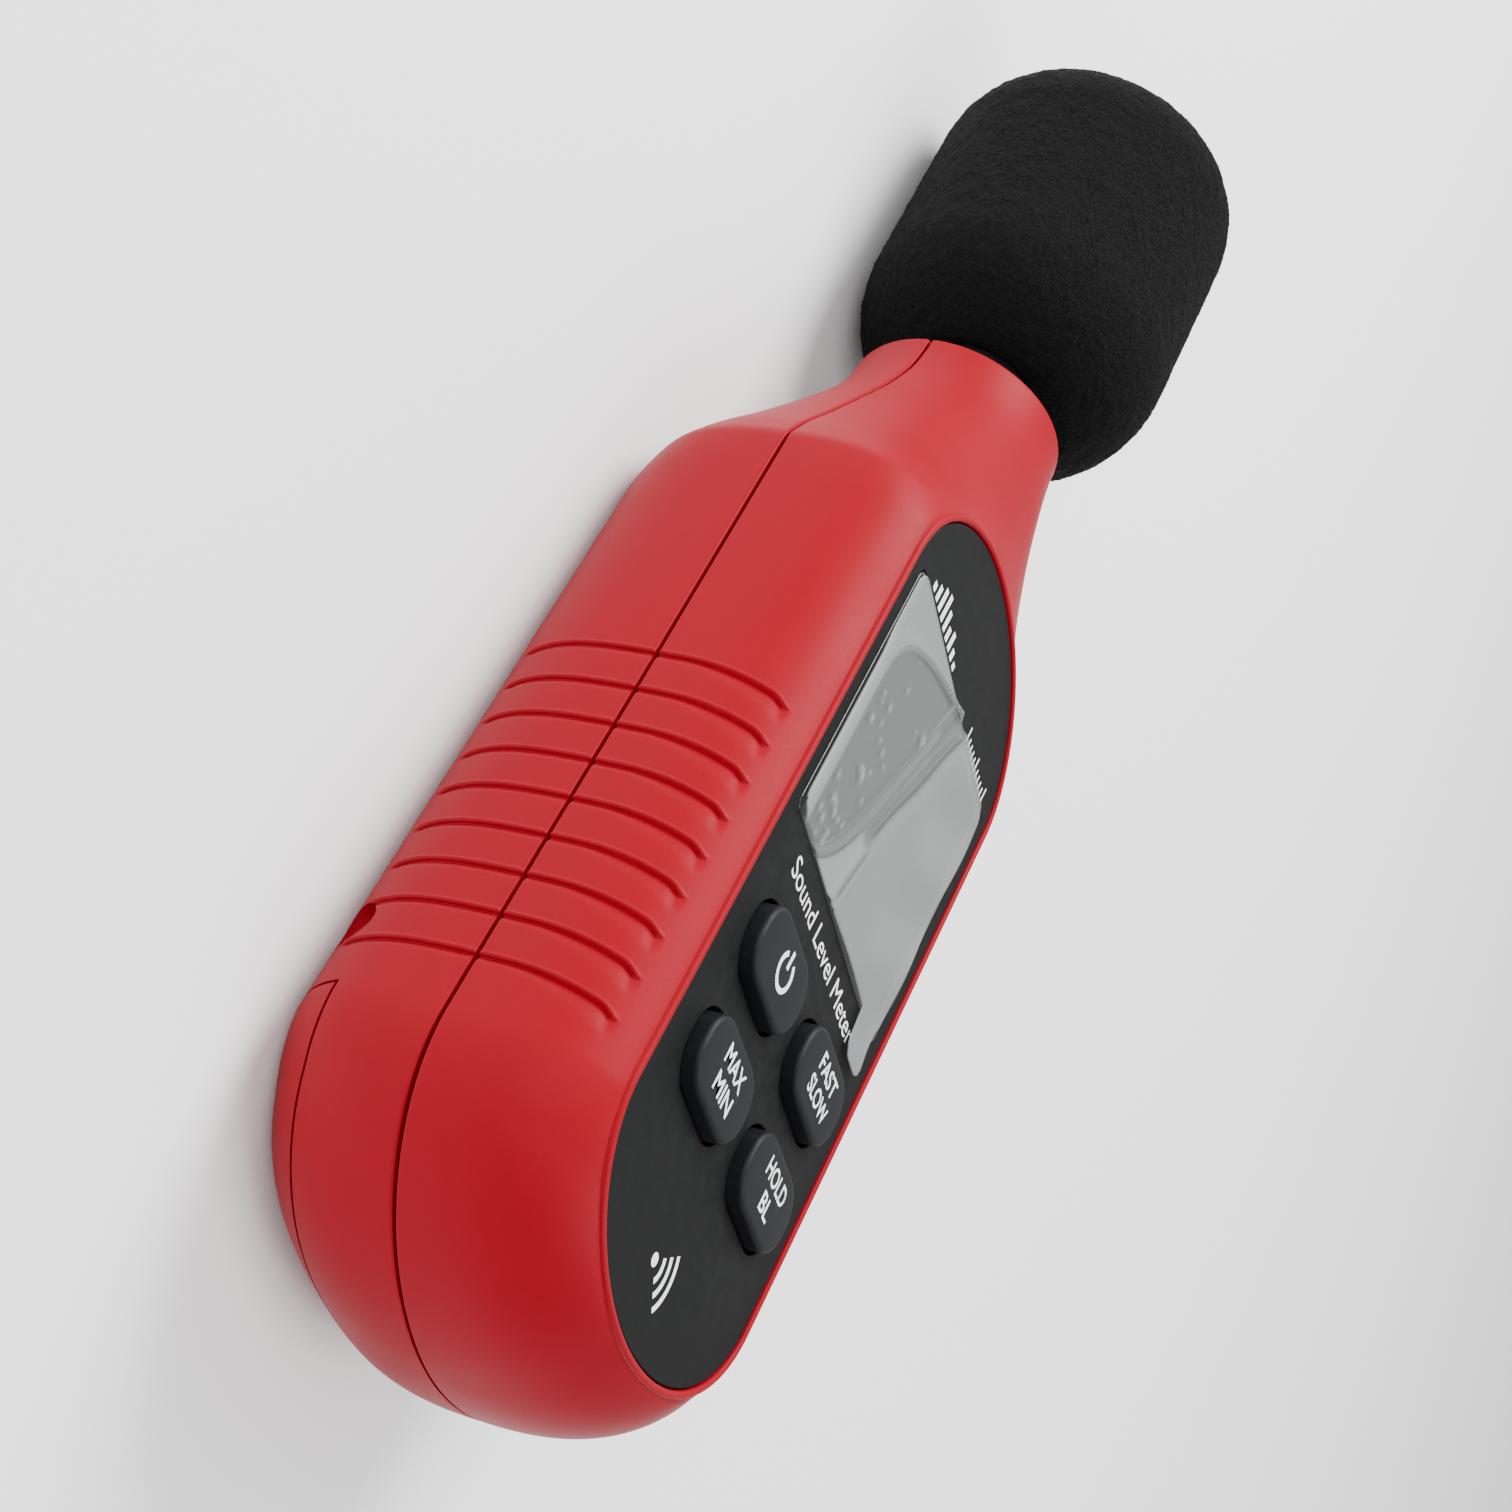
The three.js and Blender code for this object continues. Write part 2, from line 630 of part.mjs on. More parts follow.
function keyCap({ x, y }) {
  const cap = slab(keyShape(0), x, y, flangeUnderZ, faceZ + keyStand, keyBevel, 2);
  const flange = slab(keyShape(keyFlange), x, y, flangeUnderZ, flangeTopZ, 0, 2);
  const stem = slab(roundedRectangle(stemLength, stemWidth, 1), x, y, stemBottomZ, flangeTopZ, 0, 1);
  return joined([cap, flange, stem]);
}

function keyMat() {
  const middleY = plateY - (keyRowTop + keyRowBottom) / 2;
  const width = 2 * (keySpread + matMargin) + keyLength;
  const length = keyRowBottom - keyRowTop + keyWidth + 2 * matMargin;
  const outerShape = roundedRectangle(width, length, matCorner);
  const underShape = roundedRectangle(width - 2 * matSkirt, length - 2 * matSkirt, matCorner - matSkirt / 2);
  const outer = slab(outerShape, 0, middleY, boardTopZ + rest, matTopZ, 0, 1);
  const under = slab(underShape, 0, middleY, 0, matTopZ - matThickness, 0, 1);
  const stems = keys.map(({ x, y }) => slab(
    roundedRectangle(stemLength + 2 * slip, stemWidth + 2 * slip, 1), x, y, 0, far, 0, 1));
  const roundBosses = caseScrews.map(([x, y]) => post(bossRadius + slip, x, y, 0, far));
  return outer.subtract(under).subtract(joined(stems)).subtract(joined(roundBosses));
}

function keyDome({ x, y }) {
  const base = boardTopZ + rest;
  const profile = [
    [0, base + domeHeight - domeSkin],
    [domeRadius * 0.7, base + domeHeight * 0.35],
    [domeRadius - domeSkin, base],
    [domeRadius, base],
    [domeRadius * 0.75, base + domeHeight * 0.7],
    [0, base + domeHeight],
  ];
  const points = profile.map(([radius, z]) => new THREE.Vector2(radius, z));
  const geometry = new THREE.LatheGeometry(points, smallSides);
  geometry.rotateX(Math.PI / 2);
  geometry.translate(x, y, 0);
  return solidOf(geometry);
}

// ---- board and its components ----
function mainBoard() {
  const lower = plateY - boardBottomRun;
  const upper = plateY + boardTopRun;
  const outline = roundedRectangle(2 * boardHalfWidth, upper - lower, boardCorner);
  const sheet = slab(outline, 0, (upper + lower) / 2, boardUnderZ, boardTopZ, 0, 1);
  const holes = boardScrews.map(([x, y]) => post(boardScrewRadius + headGap, x, y, 0, far, smallSides));
  return sheet.subtract(joined(holes));
}

function underBoard(x, y, width, length, height) {
  return block(x - width / 2, x + width / 2, y - length / 2, y + length / 2,
    boardUnderZ - rest - height, boardUnderZ - rest);
}

// ---- battery bay ----
const cellBottomY = bayBottomY + slip;
const cellXs = Array.from({ length: cellCount }, (_, i) => (i - (cellCount - 1) / 2) * cellPitch);

// Cells alternate: the outer ones point up the case, the middle one down.
function cell(i) {
  const up = i % 2 === 0;
  const low = cellBottomY + contactThickness + slip + (up ? springLength : 0);
  const high = low + cellLength;
  const shoulder = up ? high - cellNubLength : low + cellNubLength;
  const body = rod(cellRadius, cellXs[i], cellZ, up ? low : shoulder, up ? shoulder : high);
  const nub = rod(cellNubRadius, cellXs[i], cellZ, low, high, smallSides);
  return body.add(nub);
}

function contactPlate(x0, x1, atTop, tabX) {
  const y0 = atTop ? bayTopY - slip - contactThickness : cellBottomY;
  const z0 = latchZ + latchThickness + 2 * slip;
  const sheet = block(x0, x1, y0, y0 + contactThickness, z0, roofZ - slip).intersect(contactForm);
  if (tabX === undefined) return sheet;
  const half = contactTabWidth / 2;
  return sheet.add(block(tabX - half, tabX + half, y0, y0 + contactThickness, cellZ, roofZ + contactTabRise));
}

function contactSpring(i) {
  const atBottom = i % 2 === 0;
  const start = atBottom ? cellBottomY + contactThickness + springWire + rest
    : bayTopY - slip - contactThickness - springWire - rest;
  const direction = atBottom ? 1 : -1;
  const reach = springLength - 2 * springWire;
  const steps = 28;
  const points = [];
  for (let k = 0; k <= steps; k += 1) {
    const turn = 2 * Math.PI * springTurns * (k / steps);
    const radius = springRadius * (1 + 0.35 * (1 - k / steps));
    points.push([
      cellXs[i] + radius * Math.cos(turn),
      start + direction * reach * (k / steps),
      cellZ + radius * Math.sin(turn),
    ]);
  }
  return tube(points, springWire, steps, 4);
}

function caseScrew([x, y]) {
  const headZ = screwSeat - screwHeadHeight;
  const head = post(screwHeadRadius, x, y, headZ, screwSeat - rest, 16);
  const shank = post(screwRadius, x, y, headZ, screwSeat + screwLength, smallSides);
  const reach = screwHeadRadius * 0.6;
  const half = screwCrossWidth / 2;
  const crossZ = headZ + screwCrossDepth;
  const cross = block(x - reach, x + reach, y - half, y + half, 0, crossZ)
    .add(block(x - half, x + half, y - reach, y + reach, 0, crossZ));
  return head.add(shank).subtract(cross);
}

function boardScrew([x, y]) {
  const seatZ = boardUnderZ - rest;
  const headZ = seatZ - boardScrewHeadHeight;
  const head = post(boardScrewHeadRadius, x, y, headZ, seatZ, smallSides);
  const shank = post(boardScrewRadius, x, y, headZ, boardUnderZ + boardScrewLength, smallSides);
  return head.add(shank);
}

// ---- microphone ----
function microphoneBush() {
  const outer = neckBore - slip;
  const inner = tubeRadius + slip;
  const y0 = neckY - neckSeat + slip;
  const y1 = neckY + bushCollar;
  const seatY = neckY - bushChamfer;
  const collar = outer - bushStep;
  return turned([
    [inner, y0],
    [outer, y0],
    [outer, seatY],
    [collar, seatY],
    [collar, y1 - bushChamfer],
    [collar - bushChamfer, y1],
    [inner, y1],
    [inner, y0],
  ]);
}

function microphoneTube() {
  const y0 = neckY - tubeInside;
  const inner = tubeRadius - tubeWall;
  return turned([[inner, y0], [tubeRadius, y0], [tubeRadius, tubeEndY], [inner, tubeEndY], [inner, y0]]);
}

function microphoneCap() {
  const y0 = tubeEndY + rest;
  const y1 = y0 + capLength;
  const inner = tubeRadius - tubeWall;
  const edgeY = y1 - capEdge;
  const cup = turned([
    [inner, y0],
    [tubeRadius, y0],
    [tubeRadius, edgeY],
    [tubeRadius - capEdge, y1],
    [0, y1],
    [0, edgeY],
    [inner, edgeY],
    [inner, y0],
  ]);
  const half = capSlotWidth / 2;
  const reach = capSlotLength / 2;
  const slots = [-capSlotSpread, 0, capSlotSpread].map((x) => (
    block(x - half, x + half, edgeY - past, y1 + past, axisZ - reach, axisZ + reach)));
  return cup.subtract(joined(slots));
}

const capsuleTopY = tubeEndY - capsuleRecess;

function microphoneCapsule() {
  return rod(capsuleRadius, 0, axisZ, capsuleTopY - capsuleLength, capsuleTopY);
}

function capsuleSleeve() {
  const inner = capsuleRadius + sleeveGap;
  const outer = tubeRadius - tubeWall - sleeveGap;
  const y0 = capsuleTopY - capsuleLength;
  return turned([[inner, y0], [outer, y0], [outer, capsuleTopY], [inner, capsuleTopY], [inner, y0]]);
}

// The outside is turned about an axis of its own, which leans; the bore runs along the tube.
function foamWindscreen() {
  const arcSteps = 6;
  const base = Math.asin(Math.pow(foamBaseRadius / foamRadius, foamBottomPower / 2));
  const baseHeight = Math.pow(Math.cos(base), 2 / foamBottomPower);
  const points = [new THREE.Vector2(0, 0)];
  for (let i = 0; i < arcSteps; i += 1) {
    const angle = base + (Math.PI / 2 - base) * (i / arcSteps);
    const radius = foamRadius * Math.pow(Math.sin(angle), 2 / foamBottomPower);
    const height = foamBottomRound * (baseHeight - Math.pow(Math.cos(angle), 2 / foamBottomPower));
    points.push(new THREE.Vector2(radius, height));
  }
  points.push(new THREE.Vector2(foamRadius, foamBottomRound * baseHeight));
  for (let i = 0; i < arcSteps; i += 1) {
    const angle = (Math.PI / 2) * (i / arcSteps);
    const radius = foamRadius * Math.pow(Math.cos(angle), 2 / foamTopPower);
    const height = foamLength - foamTopRound * (1 - Math.pow(Math.sin(angle), 2 / foamTopPower));
    points.push(new THREE.Vector2(radius, height));
  }
  points.push(new THREE.Vector2(0, foamLength));
  const outside = new THREE.LatheGeometry(points, roundSides);
  outside.rotateZ(THREE.MathUtils.degToRad(foamLean));
  outside.translate(foamOffset, foamY, axisZ);
  const bore = rod(tubeRadius + foamBoreGap, 0, axisZ, foamY - past, tubeEndY + capLength + past);
  return solidOf(outside).subtract(bore);
}

// ---- leads ----
function microphoneLead(side) {
  const x = leadSpread * side;
  const endX = leadBoardSpread * side;
  const boardEndY = plateY + boardTopRun;
  const y0 = capsuleTopY - capsuleLength - rest;
  return tube([
    [x, y0, axisZ],
    [x, (y0 + neckY) / 2, axisZ],
    [x, neckY - tubeInside, axisZ],
    [endX, boardEndY + 5, axisZ],
    [endX, boardEndY - 3, axisZ + 0.6],
    [endX, boardEndY - 6, boardUnderZ - 2],
    [endX, boardEndY - 7, boardUnderZ - rest],
  ], leadRadius, 24, 4);
}

function batteryLead(x, y) {
  const z0 = roofZ + contactTabRise + rest;
  const endX = x * 0.6;
  return tube([
    [x, y, z0],
    [x, y, z0 + 1],
    [endX, y, z0 + 2.6],
    [endX, y, boardUnderZ - rest],
  ], leadRadius, 10, 4);
}

// ---- materials ----
function finish(color, roughness, metalness = 0, opacity = 1) {
  const transparent = opacity < 1;
  return new THREE.MeshStandardMaterial({ color, roughness, metalness, opacity, transparent });
}

const redPlastic = finish(0xc8202c, 0.45);
const blackPlastic = finish(0x2c2e2e, 0.55);
const greyRubber = finish(0x3b3c44, 0.7);
const foam = finish(0x17181a, 0.95);
const clearPlastic = finish(0xdfe6e6, 0.08, 0, 0.35);
const clearFilm = finish(0xc4cccc, 0.2, 0, 0.5);
const displayGrey = finish(0x8d9a94, 0.2);
const whitePlastic = finish(0xe8e8e4, 0.5);
const greenBoard = finish(0x1d5a36, 0.5);
const chipBlack = finish(0x202022, 0.4);
const steel = finish(0xb8bcc0, 0.3, 1);
const blackMetal = finish(0x1c1d20, 0.35, 0.6);
const cellJacket = finish(0x2f3f6b, 0.35);
const redLead = finish(0xb01818, 0.5);
const blackLead = finish(0x151515, 0.5);

// ---- assembly ----
const meter = new THREE.Group();

function addPiece(name, solid, material) {
  const mesh = new THREE.Mesh(geometryOf(solid), material);
  mesh.name = name;
  meter.add(mesh);
}

// Case, face and display.
addPiece('front_shell', frontShell(), redPlastic);
addPiece('rear_shell', rearShell(), redPlastic);
addPiece('battery_door', batteryDoor(), redPlastic);
addPiece('front_panel', facePlate(), blackPlastic);
addPiece('display_window', displayWindow(), clearPlastic);
addPiece('protective_film', protectiveFilm(), clearFilm);
addPiece('display_frame', displayFrame(), whitePlastic);
addPiece('display_glass', displayGlass(), displayGrey);
addPiece('display_backlight', backlight(), whitePlastic);
addPiece('display_zebra_strip', zebraStrip(), greyRubber);
keys.forEach((key) => addPiece(key.name, keyCap(key), greyRubber));
addPiece('key_mat', keyMat(), greyRubber);
keys.forEach((key, i) => addPiece(`key_dome_${i + 1}`, keyDome(key), steel));
addPiece('main_board', mainBoard(), greenBoard);
// Components under the board: their places from the plate's centre, and their sizes.
const components = [
  { name: 'processor_chip', x: 0, run: -6, width: 10, length: 10, height: 1.5, material: chipBlack },
  { name: 'amplifier_chip', x: -6, run: 23, width: 5, length: 4, height: 1.4, material: chipBlack },
  { name: 'clock_crystal', x: 9.5, run: -14, width: 3.4, length: 8, height: 1.8, material: steel },
  { name: 'trim_potentiometer', x: -11.5, run: 20, width: 4.6, length: 4.6, height: 3, material: chipBlack },
];
components.forEach(({ name, x, run, width, length, height, material }) => {
  addPiece(name, underBoard(x, plateY + run, width, length, height), material);
});
const capacitor = { radius: 2.5, height: 5, x: 11, run: 21 };
const capacitorTopZ = boardUnderZ - rest;
addPiece('filter_capacitor', post(capacitor.radius, capacitor.x, plateY + capacitor.run,
  capacitorTopZ - capacitor.height, capacitorTopZ), blackPlastic);
cellXs.forEach((x, i) => addPiece(`battery_cell_${i + 1}`, cell(i), cellJacket));
cellXs.forEach((x, i) => addPiece(`battery_spring_${i + 1}`, contactSpring(i), steel));

const bayEdge = bayHalfWidth - slip;
const betweenCells = cellPitch / 2 + slip;
const tabX = bayEdge - contactTabInset;
const upperTabY = bayTopY - slip - contactThickness / 2;
const lowerTabY = cellBottomY + contactThickness / 2;
addPiece('contact_positive', contactPlate(-bayEdge, -betweenCells, true, -tabX), steel);
addPiece('contact_top_bridge', contactPlate(-betweenCells + 2 * slip, bayEdge, true), steel);
addPiece('contact_bottom_bridge', contactPlate(-bayEdge, betweenCells - 2 * slip, false), steel);
addPiece('contact_negative', contactPlate(betweenCells, bayEdge, false, tabX), steel);
addPiece('battery_lead_red', batteryLead(-tabX, upperTabY), redLead);
addPiece('battery_lead_black', batteryLead(tabX, lowerTabY), blackLead);
caseScrews.forEach((place, i) => addPiece(`case_screw_${i + 1}`, caseScrew(place), steel));
boardScrews.forEach((place, i) => addPiece(`board_screw_${i + 1}`, boardScrew(place), steel));
addPiece('microphone_bush', microphoneBush(), greyRubber);
addPiece('microphone_tube', microphoneTube(), blackMetal);
addPiece('microphone_cap', microphoneCap(), blackMetal);
addPiece('microphone_capsule', microphoneCapsule(), steel);
addPiece('capsule_sleeve', capsuleSleeve(), greyRubber);
addPiece('microphone_lead_red', microphoneLead(-1), redLead);
addPiece('microphone_lead_black', microphoneLead(1), blackLead);
addPiece('foam_windscreen', foamWindscreen(), foam);

export default meter;
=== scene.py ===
import math
import random

import bmesh
import bpy
import numpy as np
from mathutils import Matrix, Vector, noise


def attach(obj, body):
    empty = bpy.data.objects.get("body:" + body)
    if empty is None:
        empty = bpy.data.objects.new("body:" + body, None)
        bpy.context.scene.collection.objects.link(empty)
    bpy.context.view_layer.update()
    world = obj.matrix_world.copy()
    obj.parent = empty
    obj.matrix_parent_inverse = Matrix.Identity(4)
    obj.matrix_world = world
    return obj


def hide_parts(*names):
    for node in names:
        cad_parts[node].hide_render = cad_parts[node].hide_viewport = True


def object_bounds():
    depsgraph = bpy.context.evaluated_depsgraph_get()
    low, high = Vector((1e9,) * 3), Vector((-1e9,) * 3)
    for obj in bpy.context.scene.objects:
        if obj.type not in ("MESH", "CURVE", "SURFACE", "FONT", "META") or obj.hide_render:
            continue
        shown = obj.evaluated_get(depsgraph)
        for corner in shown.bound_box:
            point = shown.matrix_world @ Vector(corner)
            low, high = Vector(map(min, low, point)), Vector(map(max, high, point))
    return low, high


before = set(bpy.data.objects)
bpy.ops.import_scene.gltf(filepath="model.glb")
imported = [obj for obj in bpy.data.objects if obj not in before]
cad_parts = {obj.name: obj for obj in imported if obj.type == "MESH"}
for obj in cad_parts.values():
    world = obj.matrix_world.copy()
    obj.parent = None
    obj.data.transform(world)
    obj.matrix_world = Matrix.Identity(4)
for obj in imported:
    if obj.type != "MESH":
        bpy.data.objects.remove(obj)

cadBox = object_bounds()
print("frame loaded:", len(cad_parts), "nodes")

# Hand-held sound level meter lying on its back. Lengths are in millimetres until a mesh is made.
millimetre = 0.001

# case form
case = {
    "width": 51.0, "depth": 31.7, "length": 116.4,
    "seamDrop": 14.9, "seamGap": 0.3, "seamEdge": 0.32,
    "frontCrown": 3.6, "backCrown": 3.0, "crownBlend": 0.16,
    "bottomRound": 18.7, "shoulder": 35.0, "neckRadius": 11.7, "neckBore": 9.6, "neckSeat": 8.5,
    "axisDrop": 14.45, "skin": 1.2, "overlap": 0.3, "neckEdge": 0.45, "trim": 0.9955,
    "overallLength": 166.9,
}
bottomY = -case["overallLength"] / 2
neckY = bottomY + case["length"]
shoulderY = neckY - case["shoulder"]
roundY = bottomY + case["bottomRound"]
faceZ = case["depth"]
seamZ = faceZ - case["seamDrop"]
axisZ = faceZ - case["axisDrop"]
far = 400.0

plate = {
    "width": 38.46, "length": 85.86, "margin": 7.43, "bottomArc": 13.05, "topArc": 13.99,
    "thickness": 0.8, "gap": 0.15, "lipHeight": 0.32, "lipWidth": 0.75, "edge": 0.16,
}
plateY = bottomY + plate["margin"] + plate["length"] / 2


def curveThrough(knots):
    place = np.array([k[0] for k in knots], float)
    value = np.array([k[1] for k in knots], float)
    secant = np.diff(value) / np.diff(place)
    slope = np.zeros(len(knots))
    before, after = secant[:-1], secant[1:]
    same = before * after > 0
    slope[1:-1][same] = (2 * before * after)[same] / (before + after)[same]

    def at(x):
        x = np.asarray(x, float)
        i = np.clip(np.searchsorted(place, x) - 1, 0, len(place) - 2)
        span = place[i + 1] - place[i]
        t = np.clip((x - place[i]) / span, 0, 1)
        ease = t * t * (3 - 2 * t)
        return (value[i] + (value[i + 1] - value[i]) * ease
                + slope[i] * span * t * (1 - t) ** 2 + slope[i + 1] * span * t * t * (t - 1))
    return at


# from 1, the full body, to 0, the neck, over the shoulder
widthFade = curveThrough([(0, 1), (0.13, 0.997), (0.2, 0.93), (0.366, 0.688),
                          (0.534, 0.449), (0.743, 0.17), (0.886, 0.036), (1, 0)])
frontFade = curveThrough([(0, 1), (0.2, 0.73), (0.36, 0.437), (0.543, 0.238), (0.771, 0.095), (1, 0)])
backFade = curveThrough([(0, 1), (0.2, 0.845), (0.36, 0.59), (0.543, 0.338), (0.771, 0.113), (1, 0)])
squareFade = curveThrough([(0, 1), (0.26, 0.7), (0.543, 0.35), (0.83, 0.05), (1, 0)])


def caseSection(y, inset):
    end = np.clip((roundY - y) / (case["bottomRound"] - inset), 0, 1)
    rise = np.clip((y - shoulderY) / case["shoulder"], 0, 1)
    endWidth = (1 - end ** 1.96) ** (1 / 1.96)
    endHeight = (1 - end ** 2.2) ** (1 / 2.2)
    lift = axisZ - seamZ
    neck = case["neckRadius"]

    def fade(start, finish, share):
        return finish + (start - finish) * share
    width = (fade(case["width"] / 2, neck, widthFade(rise)) - inset) * endWidth
    front = (fade(case["seamDrop"] + case["frontCrown"], neck + lift, frontFade(rise)) - inset) * endHeight
    back = (fade(seamZ + case["backCrown"], neck - lift, backFade(rise)) - inset) * endHeight
    power = fade(3.0, 2.0, squareFade(rise)) - 0.4 * np.minimum(1, 3 * end)
    return width, front, back, power


def softBelow(z, limit, blend):
    return limit - blend * np.logaddexp(0, (limit - z) / blend)


def softAbove(z, limit, blend):
    return limit + blend * np.logaddexp(0, (z - limit) / blend)


def smoothStep(low, high, x):
    t = np.clip((x - low) / (high - low), 0, 1)
    return t * t * (3 - 2 * t)


# finger grips
grip = {
    "count": 9, "pitch": 4.21, "lowestEdge": 24.15, "depth": 0.46, "lip": 0.1,
    "narrow": 0.75, "wide": 2.1, "frontEnd": 29.2, "backEnd": 2.9, "bend": 0.75, "hook": 0.5,
}
gripEdges = [bottomY + grip["lowestEdge"] + i * grip["pitch"] for i in range(grip["count"])]
gripOffsets = [-0.55, -0.38, -0.27, -0.18, -0.1, -0.03, 0.03, 0.09, 0.15, 0.22, 0.32, 0.46, 0.66, 0.92,
               1.25, 1.6, 2.0, 2.5, 3.0]


def gripBend(z):
    rise = np.clip((z - 19.5) / (grip["frontEnd"] - 19.5), 0, 1.2)
    hook = smoothStep(grip["frontEnd"] - 1.3, grip["frontEnd"] + 0.2, z)
    return grip["bend"] * rise ** 2 + grip["hook"] * hook


def gripRelief(y, z):
    spread = grip["narrow"] + (grip["wide"] - grip["narrow"]) * smoothStep(20, 28.5, z)
    along = 1 - smoothStep(grip["frontEnd"] - 0.35, grip["frontEnd"] + 0.25, z)
    along = along * smoothStep(grip["backEnd"] - 0.4, grip["backEnd"] + 0.5, z)
    relief = np.zeros_like(y)
    for edge in gripEdges:
        below = edge - gripBend(z) - y
        cut = smoothStep(0.0, 0.13, below) * (1 - np.clip(below / spread, 0, 1)) ** 1.25
        lip = np.exp(-((below + 0.15) / 0.11) ** 2)
        relief += grip["lip"] * lip - grip["depth"] * cut
    return relief * along


# mesh helpers
def meshObject(name, points, faces):
    mesh = bpy.data.meshes.new(name)
    mesh.from_pydata((np.asarray(points, float) * millimetre).tolist(), [], faces)
    turned = bmesh.new()
    turned.from_mesh(mesh)
    bmesh.ops.recalc_face_normals(turned, faces=turned.faces)
    turned.to_mesh(mesh)
    turned.free()
    made = bpy.data.objects.new(name, mesh)
    bpy.context.scene.collection.objects.link(made)
    return made


def loft(name, rings, closed=False, capped=True):
    # rings is an array of loops, each with the same number of points
    rings = np.asarray(rings, float)
    count, size = rings.shape[:2]
    faces = []
    for i in range(count if closed else count - 1):
        a, b = i * size, ((i + 1) % count) * size
        for j in range(size):
            k = (j + 1) % size
            faces.append((a + j, a + k, b + k, b + j))
    if capped and not closed:
        faces.append(tuple(range(size)))
        faces.append(tuple(range((count - 1) * size, count * size)))
    return meshObject(name, rings.reshape(-1, 3), faces)


def combine(base, other, operation):
    for solver in ("MANIFOLD", "EXACT"):
        step = base.modifiers.new("combine", "BOOLEAN")
        step.operation = operation
        step.solver = solver
        step.object = other
        graph = bpy.context.evaluated_depsgraph_get()
        result = bpy.data.meshes.new_from_object(base.evaluated_get(graph))
        base.modifiers.clear()
        changed = len(result.vertices) > 0
        if changed:
            break
        print("  solver", solver, "left", base.name, "as it was")
    base.data = result
    bpy.data.objects.remove(other)
    return base


def cut(base, other):
    return combine(base, other, "DIFFERENCE")


def add(base, other):
    return combine(base, other, "UNION")


def keep(base, other):
    return combine(base, other, "INTERSECT")


def block(x0, x1, y0, y1, z0, z1):
    loop = [(x0, y0), (x1, y0), (x1, y1), (x0, y1)]
    return loft("block", [[(x, y, z) for x, y in loop] for z in (z0, z1)])


def post(radius, x, y, z0, z1, sides=48):
    turn = [2 * math.pi * i / sides for i in range(sides)]
    return loft("post", [[(x + radius * math.cos(t), y + radius * math.sin(t), z) for t in turn]
                         for z in (z0, z1)])


def stack(name, outline, levels):
    # outline(grow) gives a flat loop; levels are (grow, height) from bottom to top
    rings = []
    for grow, z in levels:
        flat = outline(grow)
        rings.append(np.column_stack([flat, np.full(len(flat), z)]))
    return loft(name, rings)


def turned(name, profile, closed=True, sides=96, x=0.0):
    # profile is (radius, y) about the microphone's axis
    turn = np.linspace(0, 2 * np.pi, sides, endpoint=False)
    rings = [np.column_stack([x + r * np.cos(turn), np.full(sides, y), axisZ + r * np.sin(turn)])
             for r, y in profile]
    return loft(name, rings, closed=closed)


def cadCopy(node, name):
    copied = bpy.data.objects.new(name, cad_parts[node].data.copy())
    bpy.context.scene.collection.objects.link(copied)
    welded = bmesh.new()
    welded.from_mesh(copied.data)
    bmesh.ops.remove_doubles(welded, verts=welded.verts, dist=1e-6)
    bmesh.ops.recalc_face_normals(welded, faces=welded.faces)
    welded.to_mesh(copied.data)
    welded.free()
    copied.data.materials.clear()
    if "custom_normal" in copied.data.attributes:
        copied.data.attributes.remove(copied.data.attributes["custom_normal"])
    return copied


def edgeLevels(grow, z0, z1, radius, steps=4):
    # straight wall with a rounded top edge
    levels = [(grow, z0)]
    for i in range(steps + 1):
        t = math.pi / 2 * i / steps
        levels.append((grow - radius * (1 - math.cos(t)), z1 - radius * (1 - math.sin(t))))
    return levels


def arc(cx, cy, rx, ry, start, end, steps):
    t = np.radians(np.linspace(start, end, steps + 1))
    return np.column_stack([cx + rx * np.cos(t), cy + ry * np.sin(t)])


def plateOutline(grow):
    x = plate["width"] / 2 + grow
    top = plateY + plate["length"] / 2 - plate["topArc"]
    bottom = plateY - plate["length"] / 2 + plate["bottomArc"]
    return np.vstack([arc(0, top, x, plate["topArc"] + grow, 0, 180, 72),
                      arc(0, bottom, x, plate["bottomArc"] + grow, 180, 360, 72)])


def roundedOutline(x, y, width, length, corner):
    def outline(grow):
        w, h, r = width / 2 + grow, length / 2 + grow, corner + grow
        return np.vstack([
            arc(x + w - r, y + h - r, r, r, 0, 90, 12),
            arc(x - w + r, y + h - r, r, r, 90, 180, 12),
            arc(x - w + r, y - h + r, r, r, 180, 270, 12),
            arc(x + w - r, y - h + r, r, r, 270, 360, 12)])
    return outline


# case shells
def evenAngles(count):
    t = np.linspace(0, np.pi, 20001)
    x = np.sign(np.cos(t)) * np.abs(np.cos(t)) ** (2 / 3) * 25.5
    z = np.abs(np.sin(t)) ** (2 / 3) * 18.5
    run = np.concatenate([[0], np.cumsum(np.hypot(np.diff(x), np.diff(z)))])
    return np.interp(np.linspace(0, run[-1], count), run, t)


def endStations(inset, steps):
    turn = np.linspace(np.pi / 2, 0, steps + 1)
    return roundY - (case["bottomRound"] - inset) * np.sin(turn)


def halfStations():
    tip = endStations(0, 44)
    tip[0] += 0.002
    fine = [edge - offset for edge in gripEdges for offset in gripOffsets]
    straight = [y for y in np.arange(roundY + 0.8, shoulderY, 0.9)
                if y < gripEdges[0] - 3.2 or y > gripEdges[-1] + 0.8]
    shoulder = np.linspace(shoulderY, neckY - case["neckEdge"], 80)
    lip = neckY - case["neckEdge"] * (1 - np.sin(np.linspace(0, np.pi / 2, 6)[1:]))
    return np.array(sorted(np.concatenate([tip, fine, straight, shoulder, lip]).tolist()))


